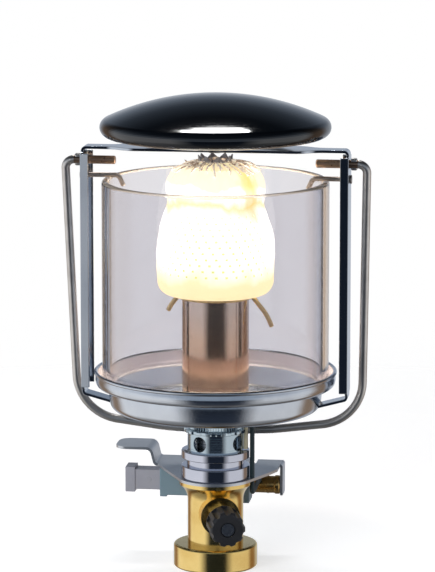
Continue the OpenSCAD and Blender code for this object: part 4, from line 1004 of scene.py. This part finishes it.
# %% Sleeve inside the air tube
SLEEVE_R, SLEEVE_BORE, SLEEVE_LOW, THREAD, THREAD_DEPTH = 6.0, 4.6, AIR_Z - 3, 0.8, 0.5
sleeve = [(SLEEVE_BORE, SLEEVE_LOW), (SLEEVE_R, SLEEVE_LOW)]
z = AIR_Z
while z < AIR_TOP - THREAD:
    sleeve += [(SLEEVE_R, z), (SLEEVE_R - THREAD_DEPTH, z + THREAD / 2)]
    z += THREAD
sleeve += [(SLEEVE_R, AIR_TOP), (SLEEVE_BORE, AIR_TOP)]
make_piece("threaded_sleeve", lathe(sleeve, 96), zinc, sharp=30)

# %% Coupling and lock nut
PLATE_Z, GROOVE_Z, TOP_RING_Z, RING_R, GROOVE_R = 27, 30.8, 33.0, 10.15, 8.6
STUB_R, STUB_TOP, SPIGOT_R = 5.05, 31, 6
bm = lathe([(STUB_R, PLATE_Z), (RING_R, PLATE_Z, 0.25), (RING_R, GROOVE_Z, 0.3), (GROOVE_R, GROOVE_Z),
            (GROOVE_R, TOP_RING_Z), (RING_R, TOP_RING_Z, 0.3), (RING_R, AIR_Z, 0.3), (SPIGOT_R, AIR_Z),
            (SPIGOT_R, STUB_TOP), (STUB_R, STUB_TOP)], 144)
make_piece("ring_coupling", bm, ring_chrome, "coupling", sharp=50)
NUT_R, KNURLS, KNURL_DEPTH = 8.2, 60, 0.3
bm = lathe([(NECK_R, FLANGE_TOP), (NUT_R, FLANGE_TOP, 0.3), (NUT_R, TRAY_Z, 0.3), (NECK_R, TRAY_Z)], 2 * KNURLS)
for v in bm.verts:
    if hypot(v.co.x, v.co.y) > (NUT_R - 0.1) * MM and round(turn_of(v.co) / pi * KNURLS) % 2:
        v.co.xy *= 1 - KNURL_DEPTH / NUT_R
make_piece("knurled_nut", bm, collar_chrome, "lock_nut", sharp=20)

# %% [markdown]
# ## The bracket
# The bracket is one zinc-plated sheet. Its plan is a single face, and the sweep helper bends the tab at the left up and
# level again, and the lug at the right down. The wall comes last.

# %% Bracket
PLATE_T, PLATE_FRONT_R = 0.8, 11.2
PLATE_LEFT, PLATE_RIGHT, PLATE_BACK, RIGHT_BACK = -19.6, 17.2, 27.7, 24.9
TAB_FRONT, LUG_FRONT, NOTCH_LEFT, NOTCH_RIGHT, NOTCH_Y = 15.2, 18.5, 7.4, 9.8, 19.4
LUG_BENDS = [(0, 0.8, 90), (8.8, 0, 0)]
TAB_BENDS = [(0, 0.8, 76), (2.55, 2.4, -76), (6.4, 0, 0), (1.3, 0, 0, 5.9), (0.9, 0, 0, 5.1), (0.6, 0, 0, 4.0),
             (0.3, 0, 0, 2.8)]
plan = arc_points((0, 0), PLATE_FRONT_R, 206.7, 334.1, 40)
plan += [(14.9, 6.1), (16.2, 9.2)] + arc_points((13.7, 12.6), 3.5, -30, 0, 6)
plan += [(PLATE_RIGHT, LUG_FRONT), (PLATE_RIGHT, RIGHT_BACK), (NOTCH_RIGHT, RIGHT_BACK), (NOTCH_RIGHT, NOTCH_Y),
         (NOTCH_LEFT, NOTCH_Y), (NOTCH_LEFT, PLATE_BACK), (PLATE_LEFT, PLATE_BACK), (PLATE_LEFT, TAB_FRONT)]
bm = bmesh.new()
corners = [bm.verts.new((x * MM, y * MM, PLATE_Z * MM)) for x, y in plan]
bm.faces.new(corners)
lug = [v for v in corners if v.co.x > (PLATE_RIGHT - 0.01) * MM and v.co.y > (LUG_FRONT - 0.01) * MM]
tab = [v for v in corners if v.co.x < (PLATE_LEFT + 0.01) * MM]
sweep(bm, lug, (PLATE_RIGHT, (LUG_FRONT + RIGHT_BACK) / 2, PLATE_Z), X, Y, LUG_BENDS)
sweep(bm, tab, (PLATE_LEFT, (TAB_FRONT + PLATE_BACK) / 2, PLATE_Z), (-1, 0, 0), Y, TAB_BENDS)
face_out(bm)
face_up(bm, max(bm.faces, key=lambda f: f.calc_area()))
make_piece("bent_bracket", bm, zinc, "bracket", thickness=PLATE_T, bevel=0.16)

# %% [markdown]
# ## The igniter
# The push igniter is moulded plastic: a housing with two feet below it and a pocket in its left end, and a button whose
# stem slides in that pocket. Moulded parts have no sharp edges, so both get a wider bevel. The barrel beside the
# housing is turned brass, painted a darker brass for the shade it lies in below the plate. The lead leaves it, goes
# forward below the bracket, up past the collar and in to the sleeve.

# %% Igniter housing
HOUSING_LOW, HOUSING_HIGH = (-19.3, 17, 16.8), (8, 25, 26.2)
POCKET_LOW, POCKET_HIGH = (-20.3, 17.85, 17.8), (-14.6, 24.15, 24.6)
FOOT_L, LEFT_FOOT, RIGHT_FOOT = 2.2, 0.5, 1.8
x0, y0, z0 = HOUSING_LOW
x1, y1, z1 = HOUSING_HIGH
side_view = [(x0, z0 - LEFT_FOOT), (x0 + FOOT_L, z0 - LEFT_FOOT), (x0 + FOOT_L, z0), (x1 - FOOT_L, z0),
             (x1 - FOOT_L, z0 - RIGHT_FOOT), (x1, z0 - RIGHT_FOOT), (x1, z1), (x0, z1)]
bm = bmesh.new()
face = bm.faces.new([bm.verts.new((x * MM, y0 * MM, z * MM)) for x, z in side_view])
deep = verts_of(bmesh.ops.extrude_face_region(bm, geom=[face])["geom"])
bmesh.ops.translate(bm, verts=deep, vec=(0, (y1 - y0) * MM, 0))
face_out(bm)
pocket = bmesh.new()
block(pocket, POCKET_LOW, POCKET_HIGH)
make_piece("moulded_housing", cut(bm, pocket), housing_plastic, "igniter_housing", bevel=0.35)

# %% Igniter button
STEM_LOW, STEM_HIGH = (-27.4, 18.2, 18.15), (-18.5, 23.8, 24.25)
HEAD_LOW, HEAD_HIGH = (-30, 17.8, 17.35), (-27, 24.2, 25.05)
THUMB_RIM, THUMB_DEPTH = 0.9, 0.35
MARK, MARK_R, MARK_H = (-22.8, 18.2, 21.3), 0.75, 0.24
bm = bmesh.new()
block(bm, STEM_LOW, STEM_HIGH)
head = block(bm, HEAD_LOW, HEAD_HIGH)
thumb = [f for f in {f for v in head for f in v.link_faces} if f.normal.x < -0.9]
bmesh.ops.inset_region(bm, faces=thumb, thickness=THUMB_RIM * MM, depth=-THUMB_DEPTH * MM)
pin(bm, MARK_R, MARK_H, placed(MARK, pi / 2, "X"))
make_piece("push_button", bm, button_plastic, "igniter_button", "button", bevel=0.28)

# %% Igniter barrel and lead
BARREL_AT, BARREL_L = (8.05, 21, 20.2), 9.05
bm = lathe([(0, 0), (2.6, 0), (2.6, 5.1), (2.8, 5.15), (2.8, 5.45), (2.6, 5.5), (2.6, 7.3), (2.85, 7.45, 0.15),
            (2.85, 8.7, 0.3), (2.5, BARREL_L, 0.1), (0, BARREL_L)], 64)
bmesh.ops.transform(bm, verts=bm.verts, matrix=placed(BARREL_AT, pi / 2, "Y"))
make_piece("turned_barrel", bm, shaded_brass, "igniter_barrel")

LEAD_R, LEAD_START = 0.7, (11, 18.418, 22.3)
LEAD_RUN, LEAD_BEND, LEAD_RISE, LEAD_TOP_BEND, LEAD_END = 16.918, 1.5, 21.8, 1.0, 0.2
bm = bmesh.new()
end = wire_start(bm, LEAD_R, LEAD_START, (0, -1, 0), X, 16)
end, at, heading = sweep(bm, end, LEAD_START, (0, -1, 0), X,
                         [(LEAD_RUN, LEAD_BEND, -90), (LEAD_RISE, 0, 0)])
sweep(bm, end, at, heading, Y, [(0, LEAD_TOP_BEND, -90), (LEAD_END, 0, 0)])
close_ends(bm, LEAD_R)
make_piece("lead_wire", bm, rubber, "ignition_lead", sharp=60)
